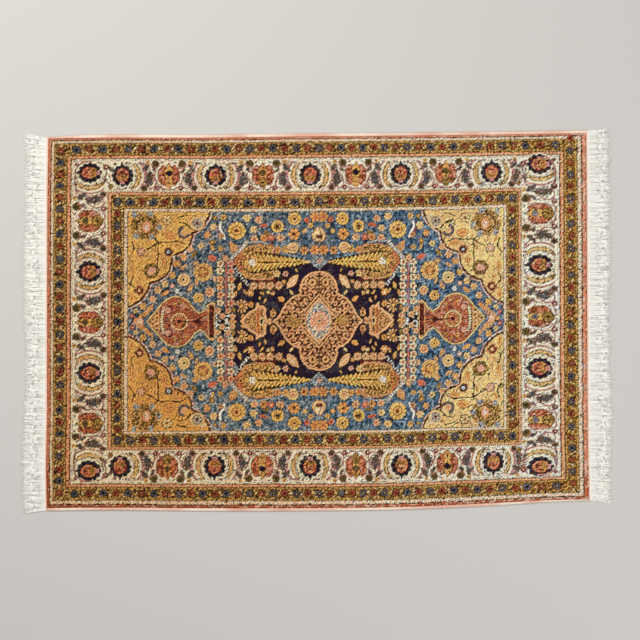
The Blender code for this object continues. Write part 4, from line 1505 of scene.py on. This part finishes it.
def fringe_piece(name, way, seed, material):
    """One end's fringe. Each bunch leaves the strip as wide as its pitch, is pinched to its knot by an
    eased curve, and spreads again to an uneven tuft, longest in its middle. Every yarn waves a little on
    its way."""
    draw = np.random.default_rng(seed)
    low, high = -side("south", way * HALF_LENGTH), side("north", way * HALF_LENGTH)
    pitch = (high - low) / BUNCHES
    root = low + pitch * (np.arange(BUNCHES) + 0.5)
    aside = (root - (low + high) / 2) / ((high - low) / 2)
    flare = np.where(aside > 0, CORNER_FLARE[name]["north"], -CORNER_FLARE[name]["south"])
    flare = flare * np.abs(aside) ** FLARE_FADE
    start = end(name, root) + GAP + STRIP_SHOWS
    uneven = draw.uniform(-STRAND_UNEVEN, STRAND_UNEVEN, BUNCHES)
    length = KILIM_WIDTH - STRIP_SHOWS + STRAND_REACH + end(name + "_reach", root) + uneven
    knot = KNOT_AT[name] + draw.normal(0.0, 0.085, BUNCHES)
    pinch = KNOT_PINCH * draw.uniform(0.75, 1.45, BUNCHES)
    sway = draw.normal(0.0, 0.0011, BUNCHES)

    def bundle(count, steps, base, radius, sides, short):
        """The yarns of one layer in every bunch, as tubes."""
        even = ((np.arange(count) + 0.5) / count * 2 - 1)[None, :, None]
        k = even + draw.normal(0, 0.06, (BUNCHES, count, 1))
        t = np.linspace(0, 1, steps)[None, None, :]
        at = knot[:, None, None]
        to_knot, from_knot = ease(t / at), ease((t - at) / (1 - at))
        spread = np.where(t < at, 1 - (1 - pinch[:, None, None]) * to_knot**4, 0)
        wider = draw.uniform(0.95, 1.35, (BUNCHES, 1, 1)) - pinch[:, None, None]
        spread = np.where(t < at, spread, pinch[:, None, None] + wider * from_knot**0.5)
        wave = draw.normal(0, 1, (BUNCHES, count, 1))
        wave = wave * np.sin(t * 9 + draw.uniform(0, 6.3, (BUNCHES, count, 1)))
        y = root[:, None, None] + pitch / 2 * k * spread + flare[:, None, None] * t**1.3
        y = y + sway[:, None, None] * t + wave * (0.00016 + 0.0009 * from_knot)
        ragged = np.abs(draw.normal(0, 0.0022, (BUNCHES, count)))
        reach = length[:, None] - short - 0.0055 * k[:, :, 0] ** 2 - ragged
        x = way * (start[:, None, None] + reach[:, :, None] * t)
        rise = draw.normal(0, 0.00022, (BUNCHES, count, 1)) * from_knot
        z = base + rise + 0.00035 * np.exp(-(((t - at) / 0.05) ** 2))
        z = np.maximum(z, radius)
        paths = np.stack((x + SHIFT[0], y + SHIFT[1], z), axis=-1).reshape(-1, steps, 3)
        thick = radius * np.broadcast_to(1 - 0.55 * ease((t - 0.80) / 0.20), y.shape).reshape(-1, steps)
        return tubes(paths, thick.copy(), sides)

    above = bundle(YARNS_ABOVE, 18, FRINGE_HEIGHT - YARN_RADIUS - 0.0003, YARN_RADIUS, 5, 0.0)
    below = bundle(YARNS_BELOW, 9, 0.00075, 0.00075, 4, 0.003)
    along = np.linspace(-1, 1, KNOT_STEPS)
    centre_x = way * (start + length * knot)
    centre_y = root + flare * knot**1.3 + sway * knot
    half = pitch / 2 * pinch
    knots = np.stack(
        (
            centre_x[:, None] + KNOT_HALF_LONG * along + SHIFT[0],
            np.broadcast_to(centre_y[:, None] + SHIFT[1], (BUNCHES, KNOT_STEPS)),
            np.full((BUNCHES, KNOT_STEPS), KNOT_MIDDLE),
        ),
        axis=-1,
    )
    girth = half[:, None] * np.sqrt(np.clip(1.04 - along**2, 0, 1)) * 0.95
    wraps = tubes(knots, girth, 10, flat=0.34)
    wraps[0][:, 2] = np.maximum(wraps[0][:, 2], 0.0)
    points, faces = joined(above, below, wraps)
    counts = (len(above[0]), len(below[0]), len(wraps[0]))
    # The lower yarns, and a little the knots, are tinted darker than the upper yarns: painted shade.
    tone = np.concatenate(
        (
            np.repeat(draw.normal(0.985, 0.075, BUNCHES * YARNS_ABOVE), counts[0] // (BUNCHES * YARNS_ABOVE)),
            np.repeat(draw.normal(0.93, 0.04, BUNCHES * YARNS_BELOW), counts[1] // (BUNCHES * YARNS_BELOW)),
            np.full(counts[2], 0.96),
        )
    )
    # Painted shadows: dark ticks near the knots, where yarns shade each other.
    aslant = np.floor((points[:, 0] + way * 0.55 * points[:, 1]) / SHADOW_TICK_LONG).astype(int) % SHADOW_TICK_TABLE
    across = np.floor((points[:, 1] + 1.7 * SHADOW_TICK_WIDE * aslant) / SHADOW_TICK_WIDE).astype(int) % SHADOW_TICK_TABLE
    shadow_tick = draw.uniform(0, 1, (SHADOW_TICK_TABLE, SHADOW_TICK_TABLE))[aslant, across] > 0.87
    outward = way * points[:, 0] - np.median(way * (centre_x + SHIFT[0]))
    tone = np.where(shadow_tick & (np.abs(outward) < 0.019), tone * 0.62, tone)
    tints = np.clip(linear(WARP) * tone[:, None], 0, 0.98)
    piece = new_piece("fringe_yarns_" + name, points, faces, material, tints=tints)
    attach(piece, "root")
    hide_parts("fringe_" + name)
    return piece


# The flat-woven strip: the pitch of its ribs, its height, and the rows of its mesh across it.
KILIM_RIB = 0.0016
KILIM_HEIGHT = 0.0015
KILIM_ROWS = 13


def kilim_piece(name, way, material):
    """The flat-woven strip at one end: a closed slab whose top is ribbed by sin x sin y, with a furrow
    along it."""
    low, high = -side("south", way * HALF_LENGTH), side("north", way * HALF_LENGTH)
    columns = int((high - low) / (KILIM_RIB / 2))
    y = np.linspace(low, high, columns)[None, :]
    t = np.linspace(0, 1, KILIM_ROWS)[:, None]
    x = end(name, y) + GAP + KILIM_WIDTH * t
    check = np.sin(2 * math.pi * y / KILIM_RIB + math.pi * np.arange(KILIM_ROWS)[:, None])
    furrow = 0.0003 * np.exp(-(((t - 0.40) / 0.09) ** 2))
    z = KILIM_HEIGHT + 0.00010 * check - furrow + 0.0001 * mottle(KILIM_ROWS, columns, 30, 81 + way)
    z[0], z[-1] = z[0] - 0.0006, z[-1] - 0.0004
    y = np.broadcast_to(y, x.shape)
    top = np.stack((way * x + SHIFT[0], y + SHIFT[1], z), axis=-1).reshape(-1, 3)
    index = np.arange(len(top)).reshape(x.shape)
    ring = round_edge(index)
    sole = top[ring].copy()
    sole[:, 2] = 0.0
    here, there = np.arange(len(ring)), (np.arange(len(ring)) + 1) % len(ring)
    wall = np.column_stack((ring, len(top) + here, len(top) + there, ring[there]))
    faces = grid_faces(KILIM_ROWS, columns).tolist() + wall.tolist() + [(len(top) + here).tolist()]
    if way > 0:
        faces = [face[::-1] for face in faces]
    points = np.concatenate((top, sole))
    tints = np.tile(linear(STRIP), (len(points), 1))
    piece = new_piece("flat_woven_strip_" + name, points, faces, material, tints=tints)
    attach(piece, "root")
    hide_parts("fringe_" + name)
    return piece


# Materials.


def new_material(name, colour, roughness):
    """A Principled material, its shader and its node tree. The colour is its plain one, until a node feeds
    it."""
    material = bpy.data.materials.new(name)
    material.use_nodes = True
    shader = material.node_tree.nodes["Principled BSDF"]
    shader.inputs["Base Color"].default_value = (*linear(colour), 1.0)
    shader.inputs["Roughness"].default_value = roughness
    shader.inputs["Metallic"].default_value = 0.0
    return material, shader, material.node_tree


def node(tree, kind, **values):
    """A node with some of its sockets set by name."""
    made = tree.nodes.new(kind)
    for name, value in values.items():
        made.inputs[name.replace("_", " ")].default_value = value
    return made


def join(source, output, target, socket):
    """Links an output of one node to a socket of another."""
    source.id_data.links.new(source.outputs[output], target.inputs[socket])


def yarn_material(name, colour, roughness, gloss, scale, tones, bump, tufts=None):
    """Matt yarn: the mesh's own tints, with fine fibres in their tone and in a bump. Cut pile has its
    tufts in the bump as well: cells of that scale, whose rims lie lower."""
    material, shader, tree = new_material(name, colour, roughness)
    shader.inputs["Specular IOR Level"].default_value = gloss
    tint = node(tree, "ShaderNodeAttribute")
    tint.attribute_name = "yarn"
    spot = node(tree, "ShaderNodeTexCoord")
    fibre = node(tree, "ShaderNodeTexNoise", Scale=scale, Detail=3.0, Roughness=0.6)
    join(spot, "Object", fibre, "Vector")
    low, high, dark, light = tones
    tone = node(tree, "ShaderNodeMapRange", From_Min=low, From_Max=high, To_Min=dark, To_Max=light)
    join(fibre, "Fac", tone, "Value")
    lit = node(tree, "ShaderNodeVectorMath")
    lit.operation = "SCALE"
    join(tint, "Color", lit, 0)
    join(tone, "Result", lit, "Scale")
    join(lit, "Vector", shader, "Base Color")
    relief = node(tree, "ShaderNodeBump", Strength=bump[0], Distance=bump[1])
    join(relief, "Normal", shader, "Normal")
    if not tufts:
        join(fibre, "Fac", relief, "Height")
        return material
    cells = node(tree, "ShaderNodeTexVoronoi", Scale=tufts, Randomness=0.55)
    join(spot, "Object", cells, "Vector")
    height = node(tree, "ShaderNodeMath")
    height.operation = "SUBTRACT"
    join(fibre, "Fac", height, 0)
    join(cells, "Distance", height, 1)
    join(height, "Value", relief, "Height")
    return material


# Each material: plain colour, roughness, gloss, the fibres' scale, their range and the tones it gives, the
# bump's strength and depth, and for the pile the scale of its tufts.
KNOTTED = ((150, 110, 80), 0.72, 0.05, 420.0, (0.25, 0.75, 0.80, 1.22), (0.55, 0.0006), 1150.0)
OVERCAST = ((240, 232, 220), 0.8, 0.25, 900.0, (0.3, 0.7, 0.90, 1.04), (0.4, 0.0003))
WARPS = ((240, 232, 220), 0.85, 0.25, 1400.0, (0.3, 0.7, 0.90, 1.04), (0.4, 0.0003))


def rug():
    pile = pile_piece(yarn_material("knotted pile", *KNOTTED))
    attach(pile, "root")
    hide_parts("rug_pile")
    overcast = yarn_material("overcast yarn", *OVERCAST)
    warp = yarn_material("warp yarn", *WARPS)
    sewn = [selvedge_piece("north", 1, overcast), selvedge_piece("south", -1, overcast)]
    for name, way, seed in (("west", -1, 91), ("east", 1, 92)):
        sewn += [fringe_piece(name, way, seed, warp), kilim_piece(name, way, warp)]


# The view: straight down, from so high that a pixel of the picture is a square at the pile. The rug's middle
# lies at its own pixel, and the floor a little under the rug.
PICTURE_PIXELS = 640
DRAWN_FROM_PIXEL = (317.05, 321.5)
CAMERA_HEIGHT = 6.0
SENSOR_WIDTH = 36.0
FLOOR_HALF = 6.0
FLOOR_UNDER = 0.0004


def stage_floor():
    floor, shader, _ = new_material("pale floor", (196, 193, 188), 0.9)
    shader.inputs["Specular IOR Level"].default_value = 0.2
    half, low = FLOOR_HALF, -FLOOR_UNDER
    corners = ((-half, -half, low), (half, -half, low), (half, half, low), (-half, half, low))
    corners = np.array(corners, float)
    new_piece("pale_floor", corners, [[0, 1, 2, 3]], floor, smooth=False)


def camera():
    lens = bpy.data.cameras.new("overhead camera")
    lens.sensor_width = SENSOR_WIDTH
    lens.lens = SENSOR_WIDTH * CAMERA_HEIGHT / (PICTURE_PIXELS * SQUARE)
    lens.clip_end = 60.0
    holder = bpy.data.objects.new("overhead camera", lens)
    middle = PICTURE_PIXELS / 2
    x = (middle - DRAWN_FROM_PIXEL[0]) * SQUARE + SHIFT[0]
    y = (DRAWN_FROM_PIXEL[1] - middle) * SQUARE + SHIFT[1]
    holder.location = (x, y, CAMERA_HEIGHT + PILE_HEIGHT)
    bpy.context.scene.collection.objects.link(holder)
    bpy.context.scene.camera = holder


def soft_light(name, place, power, size, colour=(1.0, 1.0, 1.0)):
    """A square area light at a place, turned to the rug's middle."""
    lamp = bpy.data.lights.new(name, "AREA")
    lamp.energy = power
    lamp.size = size
    lamp.color = colour
    holder = bpy.data.objects.new(name, lamp)
    holder.location = place
    x, y, z = place
    holder.rotation_euler = (math.atan2(math.hypot(x, y), z), 0.0, math.atan2(x, -y))
    bpy.context.scene.collection.objects.link(holder)


def light():
    world = bpy.data.worlds.new("plain studio")
    world.use_nodes = True
    world.node_tree.nodes["Background"].inputs["Color"].default_value = (0.95, 0.97, 1.0, 1.0)
    world.node_tree.nodes["Background"].inputs["Strength"].default_value = 0.46
    bpy.context.scene.world = world
    soft_light("key", (-1.8, 2.4, 3.2), 124.0, 1.6, (1.0, 0.98, 0.95))
    soft_light("fill", (2.6, -1.6, 3.4), 78.0, 2.4)
    bpy.context.scene.view_settings.view_transform = "Standard"


rug()
stage_floor()
camera()
light()
